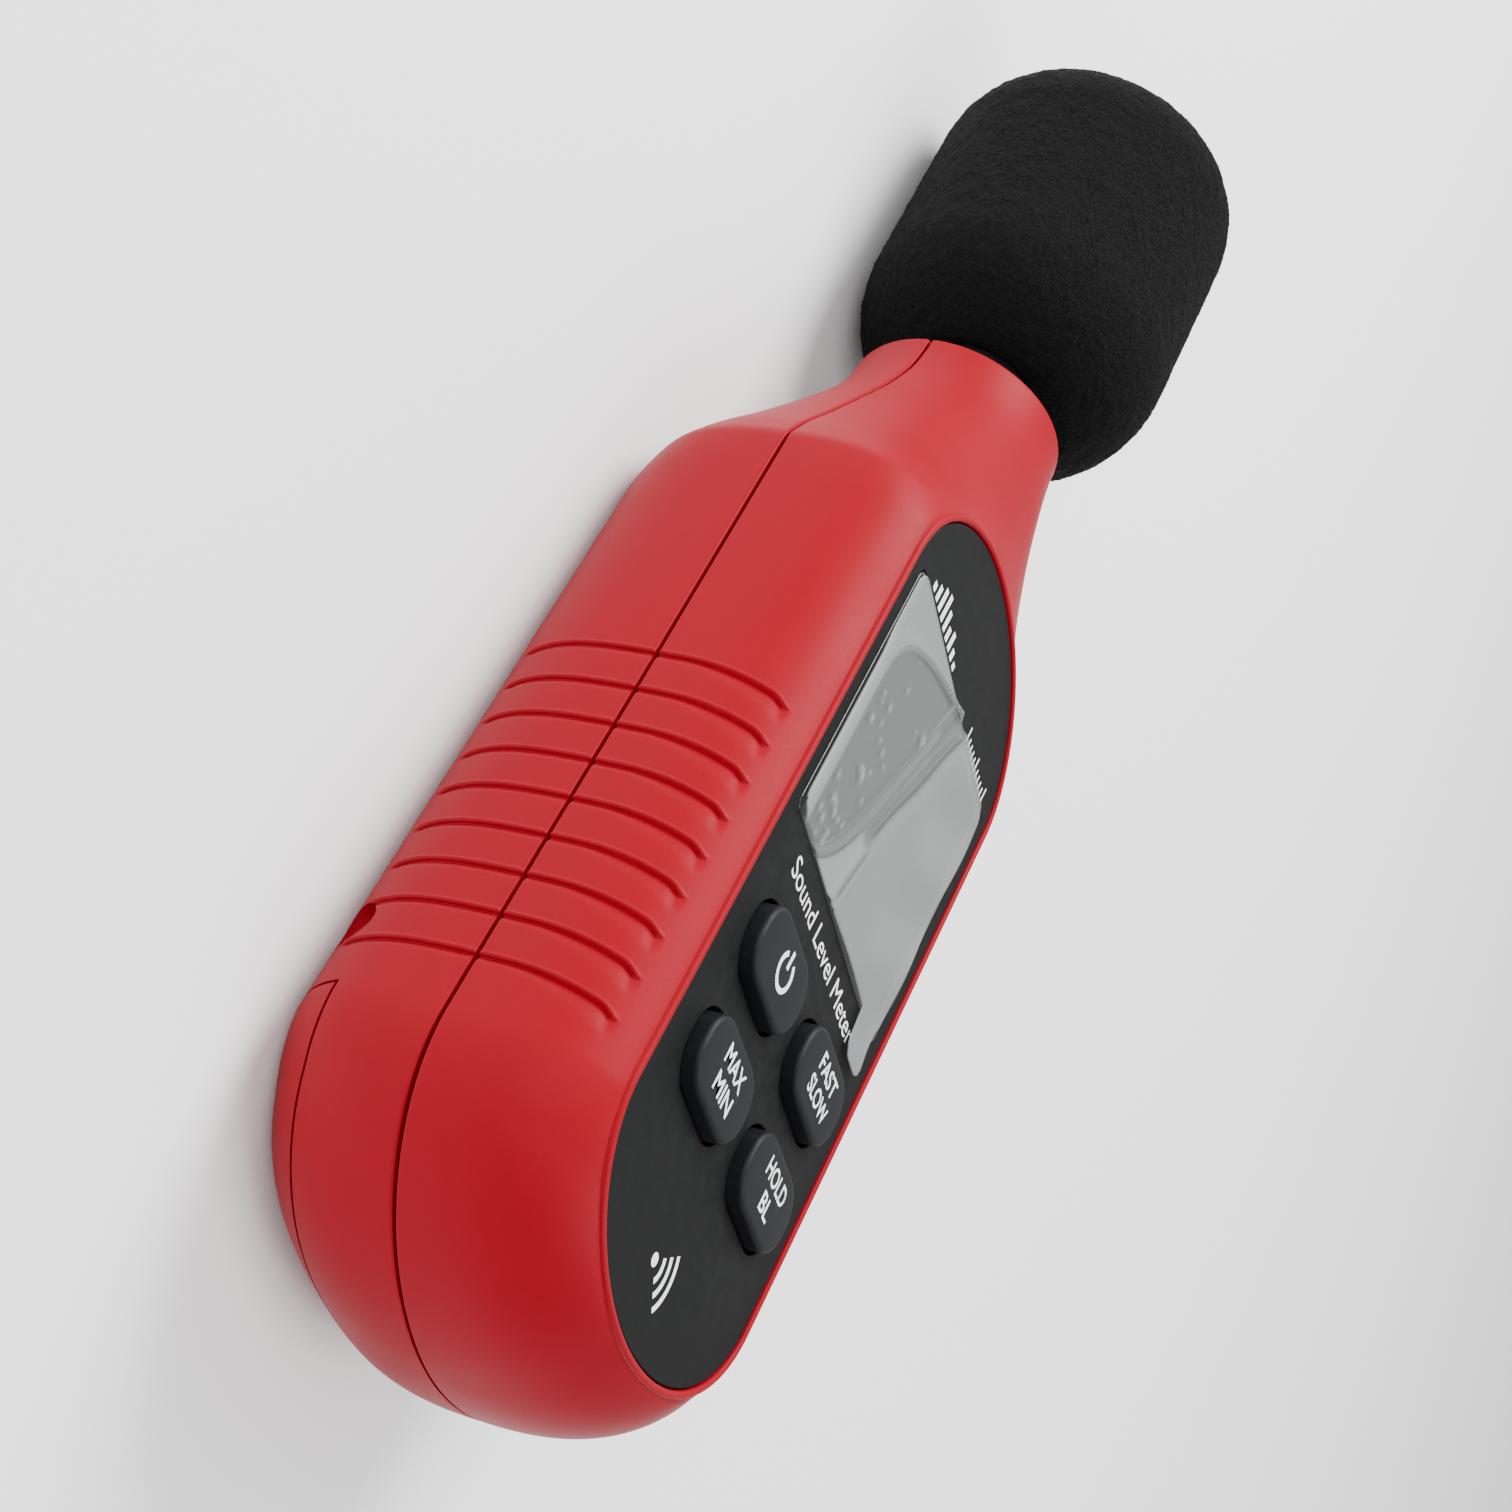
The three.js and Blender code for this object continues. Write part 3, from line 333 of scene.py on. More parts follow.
def halfSolid(name, side, pointCount=210):
    # side is 1 for the front shell and -1 for the rear one
    station = halfStations()[:, None]
    base = evenAngles(pointCount)[None, :]
    rounding = np.clip((station - (neckY - case["neckEdge"])) / case["neckEdge"], 0, 1)
    inset = case["neckEdge"] * (1 - np.sqrt(1 - rounding ** 2)) * 0.8
    low = case["seamGap"] / 2

    def points(y):
        width, front, back, power = caseSection(y, inset)
        height = front if side > 0 else back
        edge = np.minimum(case["seamEdge"], 0.3 * height)
        start = np.arcsin(np.clip((low + edge) / np.maximum(height, 1e-3), 0, 0.9) ** (power / 2))
        angle = start + base * (np.pi - 2 * start) / np.pi
        across = np.sign(np.cos(angle)) * np.abs(np.cos(angle)) ** (2 / power)
        up = np.abs(np.sin(angle)) ** (2 / power)
        x = -width * across
        z = seamZ + side * height * up
        nx = np.sign(x) * np.abs(across) ** (power - 1) / np.maximum(width, 1e-3)
        nz = side * up ** (power - 1) / np.maximum(height, 1e-3)
        size = np.maximum(np.hypot(nx, nz), 1e-9)
        return x, z, nx / size, nz / size, edge
    x, z, nx, nz, edge = points(station + 0 * base)
    reach = smoothStep(gripEdges[0] - 6, gripEdges[0] - 2.5, station)
    reach = reach * (1 - smoothStep(gripEdges[-1] + 1, gripEdges[-1] + 6, station))
    y = station - gripBend(z) * reach
    x, z, nx, nz, edge = points(y)
    relief = gripRelief(y, z)
    x, z = (x + nx * relief) * case["trim"], z + nz * relief
    y = np.maximum(y, bottomY + 0.02)
    blend = case["crownBlend"]
    z = softBelow(z, faceZ, blend) if side > 0 else softAbove(z, 0, blend)
    edge = edge + 0 * station
    seam = seamZ + side * low
    corner = []
    for t in np.radians([25, 50, 70, 90]):
        corner.append((1 - np.cos(t), 1 - np.sin(t)))
    rings = []
    for i in range(len(station)):
        loop = list(zip(x[i], y[i], z[i]))
        e = edge[i, 0]
        leftX, rightX = x[i, 0], x[i, -1]
        y0, y1 = y[i, 0], y[i, -1]
        loop += [(rightX - e * a, y1, seam + side * e * b) for a, b in corner]
        loop += [(leftX + e * a, y0, seam + side * e * b) for a, b in reversed(corner)]
        rings.append(loop)
    return loft(name, rings)


def formSolid(inset, low, high, endY):
    station = np.concatenate([endStations(inset, 30), np.linspace(shoulderY, endY, 40)])[:, None]
    station[0] += 0.002
    half = evenAngles(90)
    angle = np.concatenate([half, (half + np.pi)[1:-1]])[None, :]
    width, front, back, power = caseSection(station, inset)
    across = np.sign(np.cos(angle)) * np.abs(np.cos(angle)) ** (2 / power)
    up = np.sign(np.sin(angle)) * np.abs(np.sin(angle)) ** (2 / power)
    x = -width * across
    z = np.clip(seamZ + np.where(up > 0, front, back) * up, low, high)
    return loft("form", np.dstack([x, station + 0 * x, z]))


def innerForm():
    t = case["skin"]
    return formSolid(t, t, faceZ - t, neckY + 3)


def coreForm():
    t = case["skin"] - case["overlap"]
    return formSolid(t, t, faceZ - t - 0.1, neckY - 1.2)


def boreRod():
    radius = case["neckBore"]
    return turned("bore", [(radius, neckY - case["neckSeat"] - 1), (radius, neckY + 4)], closed=False)


window = {"width": 35.0, "length": 29.2, "rise": 0.3, "ledge": 2.0, "corner": 1.0}
windowY = plateY + window["rise"] + window["length"] / 2

keys = {
    "length": 12.8, "width": 7.4, "corner": 3.3, "stand": 1.6, "edge": 0.55, "crown": 0.22,
    "clearance": 0.4, "shellClearance": 0.8,
    "spread": 8.41, "upperRow": 10.52, "lowerRow": 22.1,
}
keyPlaces = {
    "power_key": (-keys["spread"], plateY - keys["upperRow"]),
    "fast_slow_key": (keys["spread"], plateY - keys["upperRow"]),
    "max_min_key": (-keys["spread"], plateY - keys["lowerRow"]),
    "hold_key": (keys["spread"], plateY - keys["lowerRow"]),
}


def keyOutline(place, extra=0.0):
    length, width = keys["length"] + 2 * extra, keys["width"] + 2 * extra
    return roundedOutline(place[0], place[1], length, width, keys["corner"] + extra)


def frontShell():
    shell = halfSolid("front_shell_body", 1)
    cut(shell, innerForm())
    gap, lipWidth, lipHeight = plate["gap"], plate["lipWidth"], plate["lipHeight"]
    rim = []
    for i in range(9):
        t = math.pi * i / 8
        out = gap + lipWidth * (0.5 + 0.5 * math.cos(t))
        rim.append((out, faceZ - 0.06 + lipHeight * math.sin(t) ** 0.8))
    outer = [(gap + lipWidth + 0.02, faceZ - 0.9)] + rim + [(0.0, faceZ - 0.06), (0.0, faceZ - 0.9)]
    rings = []
    for grow, z in outer:
        flat = plateOutline(grow)
        rings.append(np.column_stack([flat, np.full(len(flat), z)]))
    add(shell, loft("lip", rings, closed=True))
    cut(shell, stack("pocket", plateOutline, [(gap, faceZ - plate["thickness"] - 0.1), (gap, faceZ + 2)]))
    core = keep(cadCopy("front_shell", "core"), coreForm())
    add(shell, core)
    ledge = window["ledge"]
    opening = roundedOutline(0, windowY, window["width"] - 2 * ledge, window["length"] - 2 * ledge, 1.0)
    cut(shell, stack("opening", opening, [(0, faceZ - 3.4), (0, faceZ)]))
    for place in keyPlaces.values():
        hole = keyOutline(place, keys["shellClearance"])
        cut(shell, stack("keyHole", hole, [(0, faceZ - 3.4), (0, faceZ)]))
    cut(shell, boreRod())
    return shell


door = {
    "halfWidth": 18.6, "top": 14.3, "skirtHeight": 5.5, "skirtRun": 31.0, "gap": 0.3, "depth": 4.0,
    "corner": 0.8,
}
doorTopY = plateY + door["top"]


def doorSpace(clearance):
    w, c = door["halfWidth"] + clearance, door["corner"]
    top = doorTopY + clearance
    loop = np.vstack([
        [[-w, -far], [w, -far]],
        arc(w - c, top - c, c, c, 0, 90, 6),
        arc(-w + c, top - c, c, c, 90, 180, 6)])
    levels = (-1, door["depth"] + clearance)
    narrow = loft("narrow", [np.column_stack([loop, np.full(len(loop), z)]) for z in levels])
    skirtTop, skirtEnd = door["skirtHeight"] + clearance, plateY - door["skirtRun"] + clearance
    wide = block(-far / 2, far / 2, -far / 2, skirtEnd, -2, skirtTop)
    return add(narrow, wide)


screwPlaces = [(x * side, plateY + y) for x, y in ((21.3, -24.0), (18.0, 38.5)) for side in (-1, 1)]
screws = {"seatRadius": 2.2, "seat": 7.0}


def rearShell():
    shell = halfSolid("rear_shell_body", -1)
    cut(shell, innerForm())
    doorShell = bpy.data.objects.new("doorSkin", shell.data.copy())
    bpy.context.scene.collection.objects.link(doorShell)
    cut(shell, doorSpace(door["gap"]))
    add(shell, keep(cadCopy("rear_shell", "core"), coreForm()))
    for x, y in screwPlaces:
        cut(shell, post(screws["seatRadius"], x, y, -1, screws["seat"] - 0.02))
    cut(shell, boreRod())
    keep(doorShell, doorSpace(0))
    add(doorShell, keep(cadCopy("battery_door", "core"), coreForm()))
    doorShell.name = "battery_door_body"
    return shell, doorShell


frontBody = frontShell()
print("front shell:", len(frontBody.data.vertices), "points")
rearBody, doorBody = rearShell()
print("rear shell and door:", len(rearBody.data.vertices), len(doorBody.data.vertices), "points")


# face plate, window and film
def facePlate():
    levels = edgeLevels(0, faceZ - plate["thickness"], faceZ, plate["edge"])
    panel = stack("front_panel_sheet", plateOutline, levels)
    hole = roundedOutline(0, windowY, window["width"], window["length"], window["corner"])
    cut(panel, stack("windowHole", hole, [(0, faceZ - 3), (0, faceZ - 0.08), (0.25, faceZ + 0.4)]))
    for place in keyPlaces.values():
        outline = keyOutline(place, keys["clearance"])
        cut(panel, stack("keyHole", outline, [(0, faceZ - 3), (0, faceZ - 0.12), (0.35, faceZ + 0.4)]))
    return panel


panelBody = facePlate()
windowOutline = roundedOutline(0, windowY, window["width"] - 0.2, window["length"] - 0.2, window["corner"])
windowBody = stack("display_window_pane", windowOutline,
                   edgeLevels(0, faceZ - plate["thickness"], faceZ, 0.12))

film = {
    "rise": 0.12, "thickness": 0.12, "step": 0.22,
    "tabWidth": 5.2, "tabLength": 6.8, "tabCorner": 1.6, "tabInset": 1.3,
    "width": 33.8, "shift": -0.5, "corner": 1.7,
    "sideLift": 0.4, "crease": 0.22, "bubbles": 30, "bubbleHeight": 0.1,
}


def roundedDistance(x, y, cx, cy, width, length, corner):
    qx = np.abs(x - cx) - width / 2 + corner
    qy = np.abs(y - cy) - length / 2 + corner
    return np.hypot(np.maximum(qx, 0), np.maximum(qy, 0)) + np.minimum(np.maximum(qx, qy), 0) - corner


filmTabX = window["width"] / 2 - film["tabWidth"] / 2 - film["tabInset"]
filmTabY = windowY - window["length"] / 2 - film["tabLength"] / 2 + 2.0


def filmDistance(x, y):
    length = window["length"] - 0.3
    sheet = roundedDistance(x, y, film["shift"], windowY, film["width"], length, film["corner"])
    tab = roundedDistance(x, y, filmTabX, filmTabY, film["tabWidth"], film["tabLength"], film["tabCorner"])
    return np.minimum(sheet, tab)


# the film's three creases: each gives X for a height y above the window's lower edge
crease = {
    "foldStart": -4.7, "foldLean": 0.4, "foldRise": 5.0, "foldSoft": 2.0,
    "bandStart": -8.3, "bandLean": 0.34, "bandCurl": 3.1, "bandRun": 3.0,
    "stripStart": -15.1, "stripRise": 17.0, "stripSwing": 19.0, "stripRun": 12.2,
}


def foldLine(y):
    climb = crease["foldSoft"] * np.logaddexp(0, (y - crease["foldRise"]) / crease["foldSoft"])
    return crease["foldStart"] + crease["foldLean"] * climb


def bandLine(y):
    curl = crease["bandCurl"] * np.exp(-np.maximum(y, 0) / crease["bandRun"])
    return crease["bandStart"] + crease["bandLean"] * y - curl


def stripLine(y):
    swing = np.clip((y - crease["stripRise"]) / crease["stripRun"], 0, 1) ** 3
    return crease["stripStart"] + crease["stripSwing"] * swing


def bump(distance, width):
    return np.exp(-(distance / width) ** 2)


def filmBubbles(x, y):
    spots = random.Random(11)
    total = np.zeros_like(x)
    for i in range(film["bubbles"]):
        by = spots.uniform(0.8, 21.5)
        bx = spots.uniform(-14.2, float(bandLine(by)) - 1.2)
        size = spots.uniform(0.16, 0.36) * (1.5 if i % 6 == 0 else 1)
        total += bump(np.hypot((x - bx) * 1.25, (y - by) * 0.8), size)
    return np.minimum(total, 1)


def filmLook(x, y):
    # height of the lifted parts, haze where the film stands off the pane with painted reflection and
    # painted highlight lines, and painted shade along the folds
    fold, band, strip = x - foldLine(y), x - bandLine(y), x - stripLine(y)
    long = smoothStep(6.0, 10.0, y) * (1 - smoothStep(27.5, 29.2, y))
    short = 1 - smoothStep(6.5, 9.0, y)
    right = smoothStep(-0.2, 0.5, fold)
    left = 1 - smoothStep(-0.25, 0.35, strip)
    between = smoothStep(0.7, 1.3, band) * (1 - right)
    bubbles = filmBubbles(x, y)
    height = film["crease"] * bump(fold, 0.45) - 0.6 * film["crease"] * bump(fold - 1.1, 0.6) * long
    height += 0.7 * film["crease"] * bump(band, 0.7) + 0.6 * film["crease"] * bump(fold - 1.4, 0.25) * short
    height += 0.35 * right * (0.6 + 0.4 * np.sin(0.4 * y + 0.3 * x))
    height += film["sideLift"] * left * bump(strip + 1.3, 1.0)
    height += film["bubbleHeight"] * bubbles
    # lighter where the film stands off the pane and over bubbles: partly the film's own haze, partly
    # painted reflection; the narrow bright lines along the strip edge, the film's left border and beside
    # the folds are painted highlights
    haze_and_highlight = 0.5 * right + 0.62 * left + 0.2 * between + 0.55 * between * short
    haze_and_highlight += 0.5 * bump(strip + 0.9, 0.16) * left + 0.25 * bump(x + 17.0, 0.4) + 0.7 * bubbles
    haze_and_highlight += 0.45 * bump(fold - 0.55, 0.14) + 0.4 * bump(fold - 1.4, 0.18) * short
    haze_and_highlight += 0.3 * bump(band + 0.95, 0.12)
    haze_and_highlight += 0.12 * right * np.sin(0.55 * y - 0.25 * x) * smoothStep(3, 9, x)
    # painted shade: dark lines along the main fold, the band crease and the short folds, where shade falls
    # in the creases
    painted_fold_shade = 0.85 * bump(fold, 0.42) * long + 0.38 * bump(band, 0.75) * (1 - smoothStep(23, 26, y))
    painted_fold_shade += 0.6 * bump(fold - 0.9, 0.3) * short * smoothStep(0.3, 2.0, y)
    painted_fold_shade += 0.5 * bump(fold + 1.3, 0.25) * smoothStep(21, 24, y)
    return height, np.clip(haze_and_highlight, 0, 1), np.clip(painted_fold_shade, 0, 1)


def protectiveFilm():
    step = film["step"]
    xs = np.arange(-window["width"] / 2 - step, window["width"] / 2 + step, step)
    ys = np.arange(filmTabY - film["tabLength"] / 2 - step, windowY + window["length"] / 2 + step, step)
    x, y = np.meshgrid(xs, ys)
    small = 0.02
    d = filmDistance(x, y)
    gx = (filmDistance(x + small, y) - filmDistance(x - small, y)) / (2 * small)
    gy = (filmDistance(x, y + small) - filmDistance(x, y - small)) / (2 * small)
    near = np.abs(d) < 0.75 * step
    x = np.where(near, x - d * gx, x)
    y = np.where(near, y - d * gy, y)
    inside = d < 0.4 * step
    down = np.clip((windowY - window["length"] / 2 - y) / 5, 0, 1)
    height, haze_and_highlight, painted_fold_shade = filmLook(x, y - windowY + window["length"] / 2)
    z = faceZ + film["rise"] + film["thickness"] + height * (1 - down)
    z = np.maximum(z + 0.55 * down ** 1.5, faceZ + film["rise"] + 0.02)
    rows, cols = x.shape
    index = -np.ones((rows, cols), int)
    points, faces, look = [], [], []
    for i in range(rows - 1):
        for j in range(cols - 1):
            corners = [(i, j), (i, j + 1), (i + 1, j + 1), (i + 1, j)]
            if not all(inside[c] for c in corners):
                continue
            for c in corners:
                if index[c] < 0:
                    index[c] = len(points)
                    points.append((x[c], y[c], z[c]))
                    look.append((haze_and_highlight[c], painted_fold_shade[c]))
            faces.append(tuple(int(index[c]) for c in corners))
    sheet = meshObject("protective_film_sheet", points, faces)
    # the fold attribute carries the painted shade along the creases
    for column, label in enumerate(("haze_and_highlight", "fold")):
        values = sheet.data.attributes.new(label, "FLOAT", "POINT")
        values.data.foreach_set("value", np.array(look, np.float32)[:, column].copy())
    depth = sheet.modifiers.new("thickness", "SOLIDIFY")
    depth.thickness = film["thickness"] * millimetre
    depth.offset = -1
    return sheet


filmBody = protectiveFilm()
print("face plate, window and film made")


# keys
def keyPiece(node):
    place = keyPlaces[node]
    top = faceZ + keys["stand"]
    levels = edgeLevels(0, faceZ - 3.0, top - keys["crown"] * 0.35, keys["edge"], steps=7)
    reach = keys["width"] / 2 - keys["edge"]
    last = levels[-1][1]
    for share in (0.12, 0.3, 0.5, 0.7, 0.86, 0.97):
        lift = keys["crown"] * (1 - (1 - share) ** 2) * 0.35
        levels.append((-keys["edge"] - reach * share * 0.9, last + lift))

    def outline(grow):
        w, h = keys["length"] / 2 + grow, keys["width"] / 2 + grow
        r = max(min(keys["corner"] + grow, h - 1e-3), 0.02)
        h = max(h, r)
        x, y = place
        return np.vstack([
            arc(x + w - r, y + h - r, r, r, 0, 90, 12),
            arc(x - w + r, y + h - r, r, r, 90, 180, 12),
            arc(x - w + r, y - h + r, r, r, 180, 270, 12),
            arc(x + w - r, y - h + r, r, r, 270, 360, 12)])
    cap = stack(node + "_cap", outline, levels)
    x, y = place
    below = keep(cadCopy(node, "core"), block(x - 20, x + 20, y - 20, y + 20, 0, faceZ - 1))
    return add(cap, below)


keyBodies = {node: keyPiece(node) for node in keyPlaces}
print("keys made")


# microphone
microphone = {
    "tubeRadius": 6.35, "tubeWall": 0.75, "tubeInside": 12.0, "tubeReach": 34.5,
    "capLength": 5.0, "collar": 2.4, "slip": 0.3,
}
tubeEndY = neckY + microphone["tubeReach"]


def bushPiece():
    outer = case["neckBore"] - microphone["slip"]
    inner = microphone["tubeRadius"] + microphone["slip"]
    y0, y1 = neckY - case["neckSeat"] + microphone["slip"], neckY + microphone["collar"]
    return turned("microphone_bush_ring", [
        (inner, y0), (outer, y0), (outer, neckY - 0.75), (outer - 0.15, neckY - 0.6),
        (outer - 0.9, neckY - 0.6), (outer - 0.9, y1 - 0.7), (outer - 1.0, y1 - 0.3),
        (outer - 1.25, y1 - 0.05), (outer - 1.5, y1), (inner, y1)])


def tubePiece():
    r, w = microphone["tubeRadius"], microphone["tubeWall"]
    y0 = neckY - microphone["tubeInside"]
    return turned("microphone_tube_body", [
        (r - w, y0), (r, y0), (r, tubeEndY - 2.2), (r - 0.12, tubeEndY - 2.0),
        (r - 0.12, tubeEndY - 1.7), (r, tubeEndY - 1.5), (r, tubeEndY - 0.1),
        (r - 0.1, tubeEndY), (r - w, tubeEndY)])


def capPiece():
    r, w = microphone["tubeRadius"], microphone["tubeWall"]
    y0 = tubeEndY + 0.1
    y1 = y0 + microphone["capLength"]
    cap = turned("microphone_cap_body", [
        (r - w, y0), (r, y0), (r, y1 - 0.8), (r - 0.06, y1 - 0.5), (r - 0.24, y1 - 0.24),
        (r - 0.5, y1 - 0.06), (r - 0.8, y1), (1e-2, y1), (1e-2, y1 - 0.8), (r - w, y1 - 0.8)])
    for x in (-2.4, 0.0, 2.4):
        reach = 3.6 if x == 0 else 2.8
        slot = roundedOutline(x, 0, 1.2, 2 * reach, 0.58)(0)
        rings = [[(px, y, axisZ + pz) for px, pz in slot] for y in (y1 - 2, y1 + 1)]
        cut(cap, loft("slot", rings))
    return cap


bushBody, tubeBody, capBody = bushPiece(), tubePiece(), capPiece()
print("microphone made")


# foam windscreen
foam = {
    "radius": 17.22, "gap": 5.6, "length": 44.9, "baseRadius": 10.2, "bottomRound": 15.0, "topRound": 12.5,
    "bottomPower": 2.12, "topPower": 2.14, "offset": 2.9, "lean": 2.2, "boreGap": 0.3,
    "sides": 330, "rings": 210, "coarse": 0.1, "fine": 0.13, "inset": 0.16, "fibres": 9000, "seed": 5,
}
foamY = neckY + foam["gap"]


def foamProfile():
    base = math.asin((foam["baseRadius"] / foam["radius"]) ** (foam["bottomPower"] / 2))
    baseHeight = math.cos(base) ** (2 / foam["bottomPower"])
    low = np.linspace(base, np.pi / 2, 300)
    high = np.linspace(0, np.pi / 2, 300)
    radius = [np.linspace(0.02, foam["baseRadius"] - 0.5, 60),
              foam["radius"] * np.sin(low) ** (2 / foam["bottomPower"]),
              foam["radius"] * np.cos(high[:-1]) ** (2 / foam["topPower"])]
    height = [np.zeros(60), foam["bottomRound"] * (baseHeight - np.cos(low) ** (2 / foam["bottomPower"])),
              foam["length"] - foam["topRound"] * (1 - np.sin(high[:-1]) ** (2 / foam["topPower"]))]
    radius, height = np.concatenate(radius), np.concatenate(height)
    run = np.concatenate([[0], np.cumsum(np.hypot(np.diff(radius), np.diff(height)))])
    at = np.linspace(0, run[-1], foam["rings"])
    r, h = np.interp(at, run, radius), np.interp(at, run, height)
    r[-1] = 0.02
    return r, h


def foamPiece():
    radius, height = foamProfile()
    slopeR, slopeH = np.gradient(radius), np.gradient(height)
    size = np.maximum(np.hypot(slopeR, slopeH), 1e-9)
    outR, outH = slopeH / size, -slopeR / size
    turn = np.linspace(0, 2 * np.pi, foam["sides"], endpoint=False)
    lean = math.radians(foam["lean"])
    rings = np.zeros((len(radius), len(turn), 3))
    for i, (r, h) in enumerate(zip(radius, height)):
        for j, t in enumerate(turn):
            x, z = r * math.cos(t), r * math.sin(t)
            spot = Vector((x, h, z))
            rough = foam["coarse"] * noise.noise(spot * 0.55) + foam["fine"] * noise.noise(spot * 2.3)
            rough = rough * min(1.0, r / 2) - foam["inset"]
            r2, h2 = r + outR[i] * rough, h + outH[i] * rough
            x, z = r2 * math.cos(t), r2 * math.sin(t)
            rings[i, j] = (foam["offset"] + x * math.cos(lean) - h2 * math.sin(lean),
                           foamY + x * math.sin(lean) + h2 * math.cos(lean), axisZ + z)
    body = loft("foam_windscreen_body", rings)
    bore = microphone["tubeRadius"] + foam["boreGap"]
    topY = tubeEndY + microphone["capLength"] + 1
    cut(body, turned("foamBore", [(bore, foamY - 2), (bore, topY)], closed=False, sides=120))
    addFibres(body)
    return body


def addFibres(body):
    # short cut cell walls that stand on the skin of the foam
    pick = random.Random(foam["seed"])
    grown = bmesh.new()
    grown.from_mesh(body.data)
    grown.verts.ensure_lookup_table()
    grown.verts.index_update()
    outside = [v for v in grown.verts if math.hypot(v.co.x, v.co.z - axisZ * millimetre) > 8.5 * millimetre]
    for i in range(foam["fibres"]):
        root = pick.choice(outside)
        tilt = Vector((pick.uniform(-1, 1), pick.uniform(-1, 1), pick.uniform(-1, 1)))
        way = (root.normal + 0.9 * tilt).normalized()
        side = way.cross(root.normal)
        if side.length < 0.05:
            continue
        side = side.normalized() * pick.uniform(0.03, 0.06) * millimetre
        tip = root.co + way * pick.uniform(0.12, 0.34) * millimetre
        if tip.z < 0.00002 or tip.z > cadBox[1].z or tip.y > cadBox[1].y:
            continue
        low = root.co - root.normal * 0.03 * millimetre
        grown.faces.new([grown.verts.new(low - side), grown.verts.new(low + side), grown.verts.new(tip)])
    grown.to_mesh(body.data)
    grown.free()


foamBody = foamPiece()
print("foam windscreen made:", len(foamBody.data.vertices), "points")


# printed marks
marks = {"rise": 0.015, "keyRise": 0.012}


def printedMesh(name, outlines, z):
    # each outline is one flat loop
    points, faces = [], []
    for loop in outlines:
        first = len(points)
        points += [(x, y, z) for x, y in loop]
        faces.append(tuple(range(first, first + len(loop))))
    made = meshObject(name, points, faces)
    for face in made.data.polygons:
        if face.normal.z < 0:
            face.flip()
    return made


def stroke(line, width):
    line = np.array(line, float)
    way = np.gradient(line, axis=0)
    way /= np.linalg.norm(way, axis=1)[:, None]
    side = np.column_stack([-way[:, 1], way[:, 0]]) * width / 2
    return np.vstack([line + side, (line - side)[::-1]])


def lettering(name, words, x, y, width, height, z, weight=0.014):
    # words are scaled to fill width by height about (x, y)
    curve = bpy.data.curves.new(name, "FONT")
    curve.body = words
    curve.offset = weight
    curve.resolution_u = 6
    made = bpy.data.objects.new(name, curve)
    bpy.context.scene.collection.objects.link(made)
    mesh = bpy.data.meshes.new_from_object(made.evaluated_get(bpy.context.evaluated_depsgraph_get()))
    bpy.data.objects.remove(made)
    co = np.array([v.co for v in mesh.vertices])
    low, high = co.min(0), co.max(0)
    co[:, 0] = (co[:, 0] - (low[0] + high[0]) / 2) * width / (high[0] - low[0]) + x
    co[:, 1] = (co[:, 1] - (low[1] + high[1]) / 2) * height / (high[1] - low[1]) + y
    co[:, 2] = z
    mesh.vertices.foreach_set("co", (co * millimetre).ravel())
    made = bpy.data.objects.new(name, mesh)
    bpy.context.scene.collection.objects.link(made)
    return made


def joinPieces(name, pieces):
    whole = bmesh.new()
    for piece in pieces:
        whole.from_mesh(piece.data)
        bpy.data.objects.remove(piece)
    mesh = bpy.data.meshes.new(name)
    whole.to_mesh(mesh)
    whole.free()
    made = bpy.data.objects.new(name, mesh)
    bpy.context.scene.collection.objects.link(made)
    return made


def bar(x, y, width, height):
    return [(x, y), (x + width, y), (x + width, y + height), (x, y + height)]


def plateMarks():
    z = faceZ + marks["rise"]
    bars = []
    for i, height in enumerate((0.9, 1.7, 2.6, 3.1, 2.3, 1.5, 2.1, 1.2, 0.7)):
        x = -14.2 + i * 1.32
        bars.append(bar(x, plateY + 30.1, 0.72, height))
    for i in range(11):
        x, height = 6.3 + i * 0.9, 1.7 if i % 5 == 0 else 1.0
        bars.append(bar(x, plateY + 29.8, 0.26, height))
    waveX, waveY = -2.6, plateY - 36.4
    bars.append(arc(waveX, waveY, 0.62, 0.62, 0, 345, 23))
    for radius in (1.9, 3.2, 4.5):
        bars.append(stroke(arc(waveX, waveY, radius, radius, -36, 36, 18), 0.55))
    title = lettering("title", "Sound Level Meter", -0.2, plateY - 2.35, 25.4, 2.1, z, weight=0.0)
    return joinPieces("panel_marks", [printedMesh("bars", bars, z), title])


def keyLegend(node):
    x, y = keyPlaces[node]
    z = faceZ + keys["stand"] + marks["keyRise"]
    name = node + "_legend"
    if node == "power_key":
        ring = stroke(arc(x, y, 1.62, 1.62, 125, 415, 40), 0.52)
        bar = stroke([(x, y + 0.35), (x, y + 1.2), (x, y + 2.15)], 0.52)
        return printedMesh(name, [ring, bar], z)
    rows = {"fast_slow_key": [("FAST", 5.5), ("SLOW", 6.3)], "max_min_key": [("MAX", 5.3), ("MIN", 4.7)],
            "hold_key": [("HOLD", 6.1), ("BL", 2.8)]}[node]
    lines = [lettering(name, words, x, y + 1.28 - 2.56 * i, width, 1.85, z)
             for i, (words, width) in enumerate(rows)]
    return joinPieces(name, lines)


panelMarks = plateMarks()
legends = {node: keyLegend(node) for node in keyPlaces}
print("marks printed")


# materials
def tone(r, g, b):
    # 0 to 255 display values to linear light
    linear = [(c / 255) / 12.92 if c <= 10 else ((c / 255 + 0.055) / 1.055) ** 2.4 for c in (r, g, b)]
    return (*linear, 1.0)


def link(tree, start, end):
    tree.links.new(start, end)


